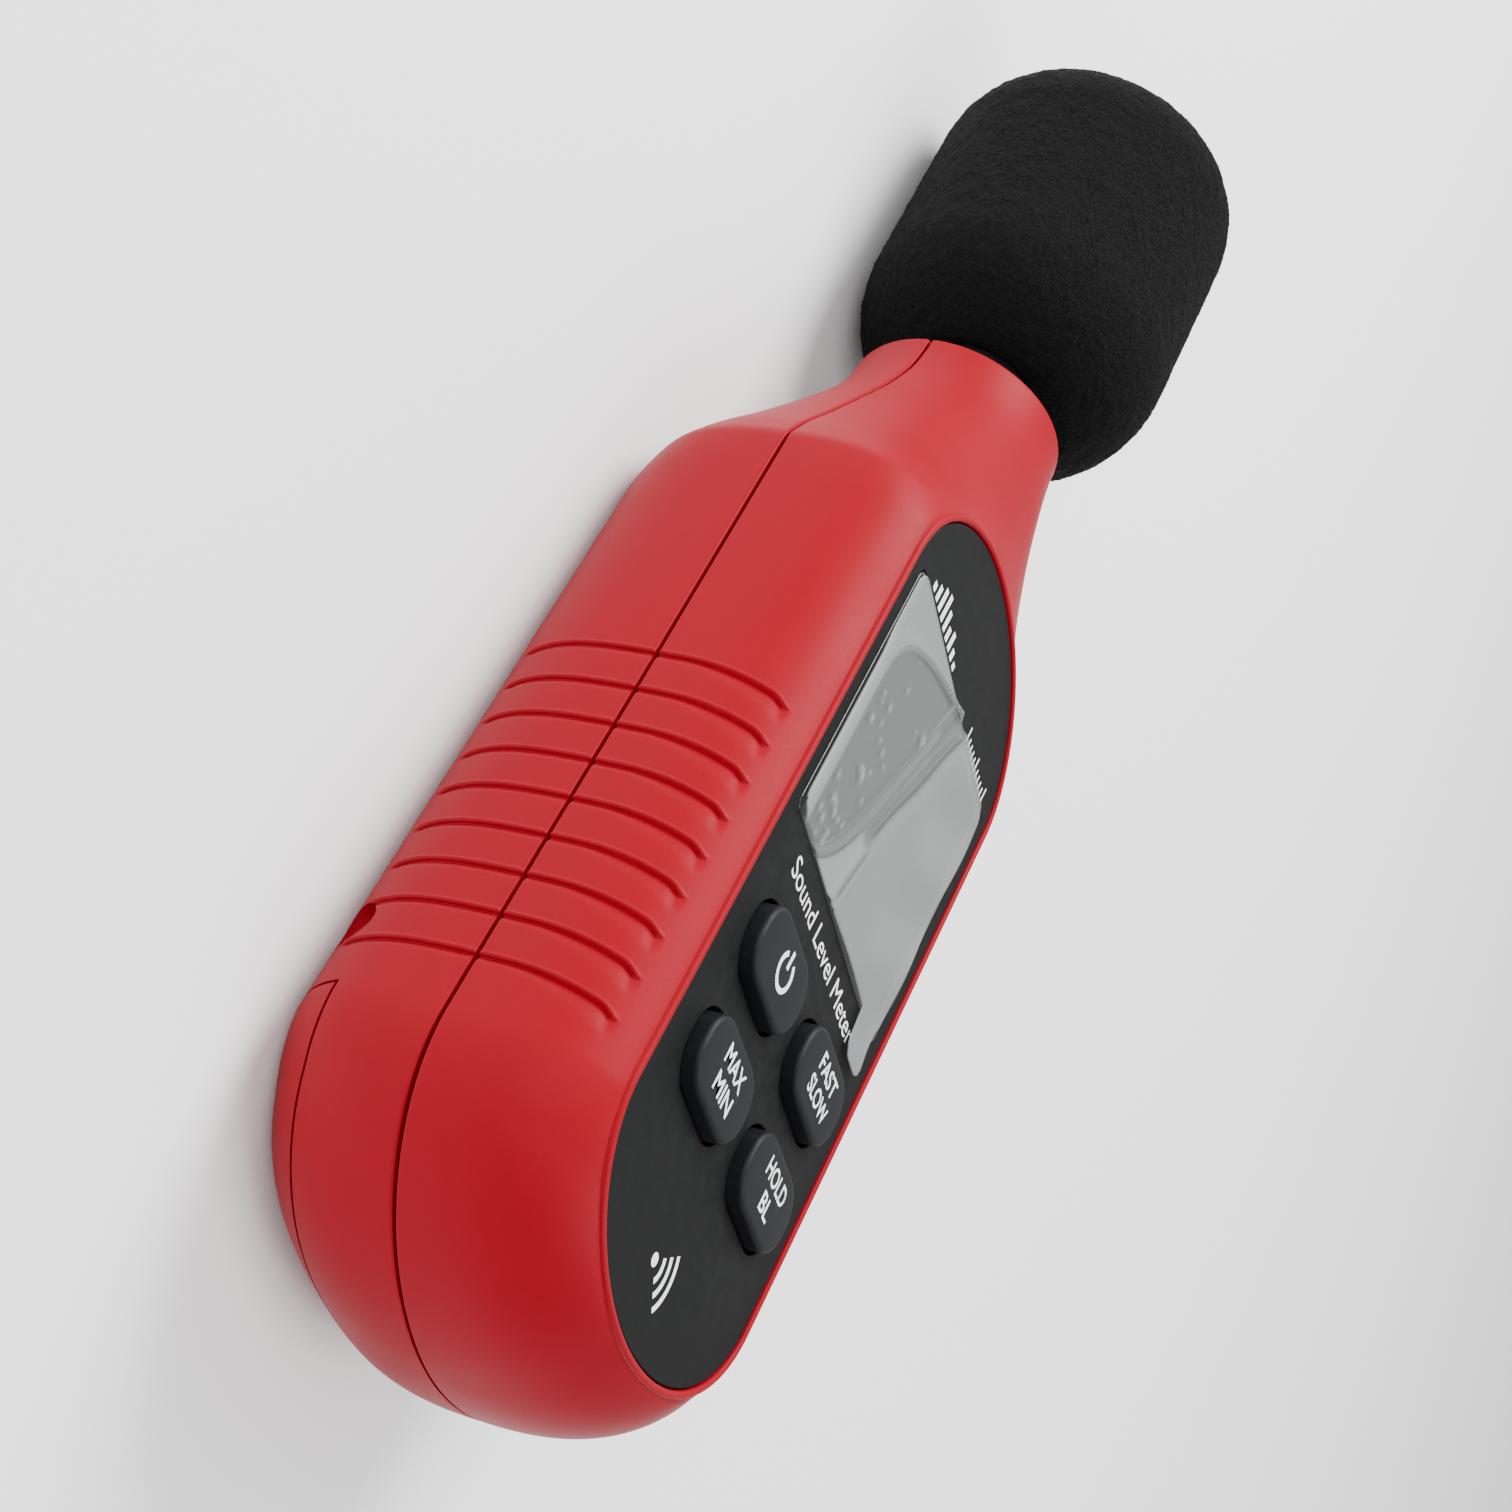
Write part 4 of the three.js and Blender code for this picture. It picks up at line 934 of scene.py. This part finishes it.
def node(tree, kind, place=(0, 0), **values):
    made = tree.nodes.new(kind)
    made.location = place
    for key, value in values.items():
        setattr(made, key, value)
    return made


def newGroup(name, inputs, outputs):
    tree = bpy.data.node_groups.new(name, "ShaderNodeTree")
    for label, kind, value in inputs:
        socket = tree.interface.new_socket(name=label, in_out="INPUT", socket_type=kind)
        socket.default_value = value
    for label, kind in outputs:
        tree.interface.new_socket(name=label, in_out="OUTPUT", socket_type=kind)
    return tree, node(tree, "NodeGroupInput", (-900, 0)), node(tree, "NodeGroupOutput", (900, 0))


def buildGrain():
    # moulded or rubbed surface: fine grain, slow colour drift and a roughness that varies with both
    tree, start, end = newGroup("surfaceGrain", [
        ("Colour", "NodeSocketColor", (0.5, 0.5, 0.5, 1)), ("Grain Scale", "NodeSocketFloat", 2500.0),
        ("Drift", "NodeSocketFloat", 0.08), ("Roughness", "NodeSocketFloat", 0.5),
        ("Roughness Spread", "NodeSocketFloat", 0.1)],
        [("Colour", "NodeSocketColor"), ("Roughness", "NodeSocketFloat"), ("Height", "NodeSocketFloat")])
    place = node(tree, "ShaderNodeTexCoord", (-900, -300))
    grain = node(tree, "ShaderNodeTexNoise", (-600, 0))
    grain.inputs["Detail"].default_value = 4.0
    grain.inputs["Roughness"].default_value = 0.62
    link(tree, place.outputs["Object"], grain.inputs["Vector"])
    link(tree, start.outputs["Grain Scale"], grain.inputs["Scale"])
    slow = node(tree, "ShaderNodeTexNoise", (-600, -350))
    slow.inputs["Scale"].default_value = 70.0
    slow.inputs["Detail"].default_value = 3.0
    link(tree, place.outputs["Object"], slow.inputs["Vector"])
    both = node(tree, "ShaderNodeMath", (-350, -200), operation="ADD")
    link(tree, grain.outputs["Fac"], both.inputs[0])
    link(tree, slow.outputs["Fac"], both.inputs[1])
    centred = node(tree, "ShaderNodeMath", (-180, -200), operation="SUBTRACT")
    centred.inputs[1].default_value = 1.0
    link(tree, both.outputs[0], centred.inputs[0])
    shade = node(tree, "ShaderNodeMath", (0, 100), operation="MULTIPLY_ADD")
    shade.inputs[2].default_value = 1.0
    link(tree, centred.outputs[0], shade.inputs[0])
    link(tree, start.outputs["Drift"], shade.inputs[1])
    scaled = node(tree, "ShaderNodeVectorMath", (250, 150), operation="SCALE")
    link(tree, start.outputs["Colour"], scaled.inputs[0])
    link(tree, shade.outputs[0], scaled.inputs["Scale"])
    rough = node(tree, "ShaderNodeMath", (250, -200), operation="MULTIPLY_ADD")
    link(tree, centred.outputs[0], rough.inputs[0])
    link(tree, start.outputs["Roughness Spread"], rough.inputs[1])
    link(tree, start.outputs["Roughness"], rough.inputs[2])
    link(tree, scaled.outputs[0], end.inputs["Colour"])
    link(tree, rough.outputs[0], end.inputs["Roughness"])
    link(tree, grain.outputs["Fac"], end.inputs["Height"])
    return tree


def buildEdgeWear():
    # a lighter colour where the form turns sharply outward, broken up by noise
    tree, start, end = newGroup("edgeWear", [
        ("Colour", "NodeSocketColor", (0.5, 0.5, 0.5, 1)),
        ("Worn Colour", "NodeSocketColor", (0.8, 0.8, 0.8, 1)),
        ("Amount", "NodeSocketFloat", 0.5)],
        [("Colour", "NodeSocketColor")])
    shape = node(tree, "ShaderNodeNewGeometry", (-900, 250))
    edge = node(tree, "ShaderNodeMapRange", (-650, 250))
    edge.inputs["From Min"].default_value = 0.515
    edge.inputs["From Max"].default_value = 0.6
    link(tree, shape.outputs["Pointiness"], edge.inputs["Value"])
    place = node(tree, "ShaderNodeTexCoord", (-900, -250))
    chips = node(tree, "ShaderNodeTexNoise", (-650, -250))
    chips.inputs["Scale"].default_value = 600.0
    chips.inputs["Detail"].default_value = 5.0
    link(tree, place.outputs["Object"], chips.inputs["Vector"])
    broken = node(tree, "ShaderNodeMapRange", (-450, -250))
    broken.inputs["From Min"].default_value = 0.38
    broken.inputs["From Max"].default_value = 0.66
    link(tree, chips.outputs["Fac"], broken.inputs["Value"])
    mask = node(tree, "ShaderNodeMath", (-250, 100), operation="MULTIPLY")
    link(tree, edge.outputs["Result"], mask.inputs[0])
    link(tree, broken.outputs["Result"], mask.inputs[1])
    amount = node(tree, "ShaderNodeMath", (0, 100), operation="MULTIPLY")
    amount.use_clamp = True
    link(tree, mask.outputs[0], amount.inputs[0])
    link(tree, start.outputs["Amount"], amount.inputs[1])
    mix = node(tree, "ShaderNodeMix", (300, 150), data_type="RGBA")
    link(tree, amount.outputs[0], mix.inputs["Factor"])
    link(tree, start.outputs["Colour"], mix.inputs["A"])
    link(tree, start.outputs["Worn Colour"], mix.inputs["B"])
    link(tree, mix.outputs["Result"], end.inputs["Colour"])
    return tree


grainGroup = buildGrain()
wearGroup = buildEdgeWear()


def placeGroup(tree, group, place, values):
    made = node(tree, "ShaderNodeGroup", place)
    made.node_tree = group
    for key, value in values.items():
        made.inputs[key].default_value = value
    return made


def makeFinish(name, colour, roughness=0.5, metallic=0.0, grain=2500.0, bump=0.25, depth=0.03,
               drift=0.1, spread=0.12,
               worn=None, wear=0.5, coat=0.0, specular=0.5):
    material = bpy.data.materials.new(name)
    material.use_nodes = True
    tree = material.node_tree
    shader = tree.nodes["Principled BSDF"]
    shader.inputs["Metallic"].default_value = metallic
    shader.inputs["Coat Weight"].default_value = coat
    shader.inputs["Specular IOR Level"].default_value = specular
    surface = placeGroup(tree, grainGroup, (-600, 100), {
        "Colour": colour, "Grain Scale": grain, "Drift": drift, "Roughness": roughness,
        "Roughness Spread": spread})
    paint = surface.outputs["Colour"]
    if worn is not None:
        edge = placeGroup(tree, wearGroup, (-350, 200), {"Worn Colour": worn, "Amount": wear})
        link(tree, paint, edge.inputs["Colour"])
        paint = edge.outputs["Colour"]
    link(tree, paint, shader.inputs["Base Color"])
    link(tree, surface.outputs["Roughness"], shader.inputs["Roughness"])
    relief = node(tree, "ShaderNodeBump", (-250, -200))
    relief.inputs["Strength"].default_value = bump
    relief.inputs["Distance"].default_value = depth * millimetre
    link(tree, surface.outputs["Height"], relief.inputs["Height"])
    link(tree, relief.outputs["Normal"], shader.inputs["Normal"])
    return material


finishes = {
    "redCase": makeFinish("moulded red plastic", tone(136, 0, 22), 0.46, grain=3200, bump=0.3,
                          drift=0.08, spread=0.16,
                          worn=tone(152, 18, 32), wear=0.3, specular=0.08),
    "blackPlate": makeFinish("matt black plate", tone(9, 10, 10), 0.62, grain=4200, bump=0.45, drift=0.25,
                             worn=tone(44, 44, 45), wear=0.4, specular=0.14),
    "keyRubber": makeFinish("charcoal rubber", tone(15, 16, 20), 0.56, grain=3600, bump=0.35, drift=0.16,
                            worn=tone(34, 36, 42), wear=0.3, specular=0.2),
    "whiteInk": makeFinish("white ink", tone(236, 238, 238), 0.55, grain=5200, bump=0.15, drift=0.1),
    "steel": makeFinish("zinc plated steel", tone(176, 178, 182), 0.3, 1.0, grain=2400, bump=0.2,
                        worn=tone(225, 225, 228)),
    "brass": makeFinish("nickel strip", tone(190, 184, 168), 0.34, 1.0, grain=1800, bump=0.2,
                        worn=tone(225, 222, 210)),
    "board": makeFinish("solder mask green", tone(22, 92, 54), 0.38, grain=900, bump=0.3, drift=0.3,
                        coat=0.3),
    "component": makeFinish("epoxy black", tone(34, 34, 36), 0.5, grain=3000, bump=0.35, drift=0.25,
                            worn=tone(90, 90, 92)),
    "whitePlastic": makeFinish("white diffuser plastic", tone(226, 228, 224), 0.5, grain=2400, bump=0.15),
    "cellJacket": makeFinish("cell jacket", tone(46, 84, 132), 0.32, grain=1400, bump=0.12,
                             drift=0.16, coat=0.4,
                             worn=tone(150, 160, 175)),
    "redLead": makeFinish("red lead sleeve", tone(190, 26, 30), 0.4, grain=2600, bump=0.15),
    "blackLead": makeFinish("black lead sleeve", tone(28, 28, 30), 0.4, grain=2600, bump=0.15),
    "blackTube": makeFinish("black anodised tube", tone(26, 27, 29), 0.36, 0.6, grain=2600,
                            bump=0.25, drift=0.15,
                            worn=tone(80, 80, 84), wear=0.1),
    "zebra": makeFinish("conductive rubber", tone(120, 70, 90), 0.7, grain=5200, bump=0.4, drift=0.5),
}


def foamFinish():
    material = bpy.data.materials.new("open cell foam")
    material.use_nodes = True
    tree = material.node_tree
    shader = tree.nodes["Principled BSDF"]
    place = node(tree, "ShaderNodeTexCoord", (-1200, 0))
    cells = node(tree, "ShaderNodeTexVoronoi", (-950, 150), feature="DISTANCE_TO_EDGE")
    cells.inputs["Scale"].default_value = 1900.0
    tint = node(tree, "ShaderNodeTexNoise", (-950, -200))
    tint.inputs["Scale"].default_value = 1500.0
    tint.inputs["Detail"].default_value = 6.0
    flecks = node(tree, "ShaderNodeTexNoise", (-950, -500))
    flecks.inputs["Scale"].default_value = 700.0
    flecks.inputs["Detail"].default_value = 8.0
    flecks.inputs["Roughness"].default_value = 0.75
    for made in (cells, tint, flecks):
        link(tree, place.outputs["Object"], made.inputs["Vector"])
    wall = node(tree, "ShaderNodeMapRange", (-700, 150))
    wall.inputs["From Max"].default_value = 0.12
    link(tree, cells.outputs["Distance"], wall.inputs["Value"])
    ramp = node(tree, "ShaderNodeValToRGB", (-700, -150))
    ramp.color_ramp.elements[0].color = tone(3, 3, 4)
    ramp.color_ramp.elements[1].color = tone(9, 9, 10)
    ramp.color_ramp.elements[0].position = 0.34
    ramp.color_ramp.elements[1].position = 0.72
    link(tree, tint.outputs["Fac"], ramp.inputs["Fac"])
    bright = node(tree, "ShaderNodeMapRange", (-700, -500))
    bright.inputs["From Min"].default_value = 0.7
    bright.inputs["From Max"].default_value = 0.76
    link(tree, flecks.outputs["Fac"], bright.inputs["Value"])
    speck = node(tree, "ShaderNodeMix", (-400, -100), data_type="RGBA")
    speck.inputs["B"].default_value = tone(48, 48, 50)
    link(tree, bright.outputs["Result"], speck.inputs["Factor"])
    link(tree, ramp.outputs["Color"], speck.inputs["A"])
    # painted shade: darkens the colour along the low cell edges of the bump, where shade falls in the pores
    painted_pore_shade = node(tree, "ShaderNodeMix", (-200, 0), data_type="RGBA", blend_type="MULTIPLY")
    painted_pore_shade.inputs["Factor"].default_value = 0.75
    link(tree, speck.outputs["Result"], painted_pore_shade.inputs["A"])
    link(tree, wall.outputs["Result"], painted_pore_shade.inputs["B"])
    link(tree, painted_pore_shade.outputs["Result"], shader.inputs["Base Color"])
    relief = node(tree, "ShaderNodeBump", (-200, -300))
    relief.inputs["Strength"].default_value = 0.9
    relief.inputs["Distance"].default_value = 0.25 * millimetre
    both = node(tree, "ShaderNodeMath", (-450, -350), operation="ADD")
    link(tree, wall.outputs["Result"], both.inputs[0])
    link(tree, tint.outputs["Fac"], both.inputs[1])
    link(tree, both.outputs[0], relief.inputs["Height"])
    link(tree, relief.outputs["Normal"], shader.inputs["Normal"])
    shader.inputs["Roughness"].default_value = 0.95
    shader.inputs["Specular IOR Level"].default_value = 0.15
    return material


# fold is the colour of the painted shade along the film's creases
filmValues = {"clear": 0.07, "hazy": 0.62, "tint": tone(152, 155, 156), "fold": tone(26, 29, 28),
              "roughness": 0.34}


def filmFinish():
    # clear sheet: hazy where it stands off the pane with painted reflection and painted highlights, and
    # painted shade along its folds
    material = bpy.data.materials.new("clear film")
    material.use_nodes = True
    tree = material.node_tree
    shader = tree.nodes["Principled BSDF"]
    surface = placeGroup(tree, grainGroup, (-700, 250), {
        "Colour": filmValues["tint"], "Grain Scale": 1500.0, "Drift": 0.025,
        "Roughness": filmValues["roughness"], "Roughness Spread": 0.1})
    # this attribute holds the film's haze with painted reflection and painted highlight lines, and drives
    # the alpha of the light tint
    haze_and_highlight = node(tree, "ShaderNodeAttribute", (-1000, -100), attribute_name="haze_and_highlight")
    fold = node(tree, "ShaderNodeAttribute", (-1000, -350), attribute_name="fold")
    # mixes the painted crease shade into the film colour
    colour = node(tree, "ShaderNodeMix", (-350, 250), data_type="RGBA")
    colour.inputs["B"].default_value = filmValues["fold"]
    link(tree, fold.outputs["Fac"], colour.inputs["Factor"])
    link(tree, surface.outputs["Colour"], colour.inputs["A"])
    link(tree, colour.outputs["Result"], shader.inputs["Base Color"])
    link(tree, surface.outputs["Roughness"], shader.inputs["Roughness"])
    alpha = node(tree, "ShaderNodeMapRange", (-700, -150))
    alpha.inputs["To Min"].default_value = filmValues["clear"]
    alpha.inputs["To Max"].default_value = filmValues["hazy"]
    link(tree, haze_and_highlight.outputs["Fac"], alpha.inputs["Value"])
    # the painted crease shade also makes the sheet opaque along the folds
    most = node(tree, "ShaderNodeMath", (-450, -200), operation="MAXIMUM")
    link(tree, alpha.outputs["Result"], most.inputs[0])
    link(tree, fold.outputs["Fac"], most.inputs[1])
    link(tree, most.outputs[0], shader.inputs["Alpha"])
    relief = node(tree, "ShaderNodeBump", (-250, 0))
    relief.inputs["Strength"].default_value = 0.02
    relief.inputs["Distance"].default_value = 0.02 * millimetre
    link(tree, surface.outputs["Height"], relief.inputs["Height"])
    link(tree, relief.outputs["Normal"], shader.inputs["Normal"])
    return material


pane = {"lcd": tone(60, 68, 63), "border": tone(9, 10, 10), "halfWidth": 16.3, "halfLength": 13.7}


def paneFinish():
    # the display seen through its window, inside a black printed border
    material = makeFinish("display pane", pane["lcd"], 0.14, grain=1200, bump=0.01, drift=0.02,
                          spread=0.03, coat=0.3)
    tree = material.node_tree
    shader = tree.nodes["Principled BSDF"]
    paint = shader.inputs["Base Color"].links[0].from_socket
    place = node(tree, "ShaderNodeTexCoord", (-1000, 500))
    split = node(tree, "ShaderNodeSeparateXYZ", (-800, 500))
    link(tree, place.outputs["Object"], split.inputs["Vector"])
    outside = None
    for axis, middle, reach in (("X", 0.0, pane["halfWidth"]), ("Y", windowY, pane["halfLength"])):
        centred = node(tree, "ShaderNodeMath", (-600, 500), operation="SUBTRACT")
        centred.inputs[1].default_value = middle * millimetre
        link(tree, split.outputs[axis], centred.inputs[0])
        size = node(tree, "ShaderNodeMath", (-450, 500), operation="ABSOLUTE")
        link(tree, centred.outputs[0], size.inputs[0])
        past = node(tree, "ShaderNodeMapRange", (-300, 500))
        past.inputs["From Min"].default_value = reach * millimetre
        past.inputs["From Max"].default_value = (reach + 0.06) * millimetre
        link(tree, size.outputs[0], past.inputs["Value"])
        if outside is None:
            outside = past.outputs["Result"]
        else:
            either = node(tree, "ShaderNodeMath", (-150, 500), operation="MAXIMUM")
            link(tree, outside, either.inputs[0])
            link(tree, past.outputs["Result"], either.inputs[1])
            outside = either.outputs[0]
    mix = node(tree, "ShaderNodeMix", (0, 450), data_type="RGBA")
    mix.inputs["B"].default_value = pane["border"]
    link(tree, outside, mix.inputs["Factor"])
    link(tree, paint, mix.inputs["A"])
    link(tree, mix.outputs["Result"], shader.inputs["Base Color"])
    return material


finishes["foam"] = foamFinish()
finishes["film"] = filmFinish()
finishes["pane"] = paneFinish()
finishes["display"] = makeFinish("liquid crystal", tone(128, 138, 130), 0.25, grain=1500, bump=0.05,
                                 drift=0.06)
print("materials made:", len(finishes))


# dressing the pieces
def dress(obj, finish, angle=32.0):
    obj.data.materials.clear()
    obj.data.materials.append(finishes[finish])
    obj.data.shade_smooth()
    obj.data.set_sharp_from_angle(angle=math.radians(angle))


def newPiece(obj, body, finish, replaced=(), angle=32.0, weighted=True):
    dress(obj, finish, angle)
    if weighted:
        even = obj.modifiers.new("even shading", "WEIGHTED_NORMAL")
        even.keep_sharp = True
        even.weight = 60
    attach(obj, body)
    if replaced:
        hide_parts(*replaced)


newPiece(frontBody, "case", "redCase", ["front_shell"])
newPiece(rearBody, "case", "redCase", ["rear_shell"])
newPiece(doorBody, "battery_door", "redCase", ["battery_door"])
newPiece(panelBody, "case", "blackPlate", ["front_panel"])
newPiece(windowBody, "case", "pane", ["display_window"])
newPiece(filmBody, "case", "film", ["protective_film"], weighted=False)
newPiece(panelMarks, "case", "whiteInk", weighted=False)
for name in keyPlaces:
    newPiece(keyBodies[name], name, "keyRubber", [name], angle=40)
    newPiece(legends[name], name, "whiteInk", weighted=False)
newPiece(bushBody, "case", "blackTube", ["microphone_bush"])
newPiece(tubeBody, "case", "blackTube", ["microphone_tube"])
newPiece(capBody, "case", "blackTube", ["microphone_cap"])
newPiece(foamBody, "windscreen", "foam", ["foam_windscreen"], angle=75, weighted=False)

cadFinishes = {
    "display_frame": "whitePlastic", "display_glass": "display",
    "display_backlight": "whitePlastic", "display_zebra_strip": "zebra",
    "key_mat": "keyRubber", "main_board": "board", "processor_chip": "component",
    "amplifier_chip": "component",
    "clock_crystal": "steel", "trim_potentiometer": "cellJacket", "filter_capacitor": "component",
    "contact_positive": "brass",
    "contact_top_bridge": "brass", "contact_bottom_bridge": "brass", "contact_negative": "brass",
    "battery_lead_red": "redLead",
    "battery_lead_black": "blackLead", "microphone_capsule": "steel", "capsule_sleeve": "keyRubber",
    "microphone_lead_red": "redLead", "microphone_lead_black": "blackLead",
}
repeatedFinishes = (
    ("key_dome", 4, "steel"),
    ("battery_cell", 3, "cellJacket"),
    ("battery_spring", 3, "steel"),
    ("case_screw", 4, "steel"),
    ("board_screw", 4, "steel"),
)
for prefix, count, finish in repeatedFinishes:
    for i in range(count):
        cadFinishes[prefix + "_" + str(i + 1)] = finish
for name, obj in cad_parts.items():
    if not obj.hide_render:
        obj.data.materials.clear()
        obj.data.materials.append(finishes[cadFinishes[name]])
print("pieces dressed")


# floor, light and camera
stage = {
    "floorSize": 9.0, "floor": tone(247, 247, 247), "skyStrength": 0.9,
    "key": {"place": (-0.22, 0.48, 0.52), "size": 0.42, "power": 11.0},
    "fill": {"place": (-0.75, -0.15, 0.45), "size": 0.8, "power": 4.0},
    "front": {"place": (0.15, -0.30, 0.80), "size": 0.5, "power": 4.0},
}


def makeFloor():
    s = stage["floorSize"] / 2
    mesh = bpy.data.meshes.new("floor")
    mesh.from_pydata([(-s, -s, 0), (s, -s, 0), (s, s, 0), (-s, s, 0)], [], [(0, 1, 2, 3)])
    floor = bpy.data.objects.new("floor", mesh)
    bpy.context.scene.collection.objects.link(floor)
    material = bpy.data.materials.new("pale floor")
    material.use_nodes = True
    shader = material.node_tree.nodes["Principled BSDF"]
    shader.inputs["Base Color"].default_value = stage["floor"]
    shader.inputs["Roughness"].default_value = 0.9
    shader.inputs["Specular IOR Level"].default_value = 0.1
    mesh.materials.append(material)


def makeLight(name):
    values = stage[name]
    data = bpy.data.lights.new(name, "AREA")
    data.shape = "DISK"
    data.size = values["size"]
    data.energy = values["power"]
    lamp = bpy.data.objects.new(name, data)
    lamp.location = values["place"]
    aim = Vector((0, -0.01, 0.015)) - Vector(values["place"])
    lamp.rotation_mode = "QUATERNION"
    lamp.rotation_quaternion = aim.to_track_quat("-Z", "Y")
    bpy.context.scene.collection.objects.link(lamp)


makeFloor()
for name in ("key", "fill", "front"):
    makeLight(name)
sky = bpy.data.worlds.new("studio")
sky.use_nodes = True
sky.node_tree.nodes["Background"].inputs["Color"].default_value = (1, 1, 1, 1)
sky.node_tree.nodes["Background"].inputs["Strength"].default_value = stage["skyStrength"]
bpy.context.scene.world = sky

# heading turns from +Y towards +X, dip is below the horizon, roll turns the picture about the line of sight
cameraView = {"place": (-0.18604, -0.15963, 0.12397), "heading": 52.14, "dip": 24.67,
              "roll": 100.94, "lens": 65.08}


def makeCamera():
    heading, dip, roll = (math.radians(cameraView[k]) for k in ("heading", "dip", "roll"))
    sight = Vector((math.sin(heading) * math.cos(dip), math.cos(heading) * math.cos(dip), -math.sin(dip)))
    level = sight.cross(Vector((0, 0, 1))).normalized()
    above = level.cross(sight)
    right = level * math.cos(roll) + above * math.sin(roll)
    up = right.cross(-sight) * -1
    data = bpy.data.cameras.new("camera")
    data.lens = cameraView["lens"]
    data.sensor_width = 36.0
    data.clip_start, data.clip_end = 0.01, 50.0
    camera = bpy.data.objects.new("camera", data)
    turn = Matrix((right, up, -sight)).transposed().to_4x4()
    camera.matrix_world = Matrix.Translation(Vector(cameraView["place"])) @ turn
    bpy.context.scene.collection.objects.link(camera)
    bpy.context.scene.camera = camera


makeCamera()
print("stage set")
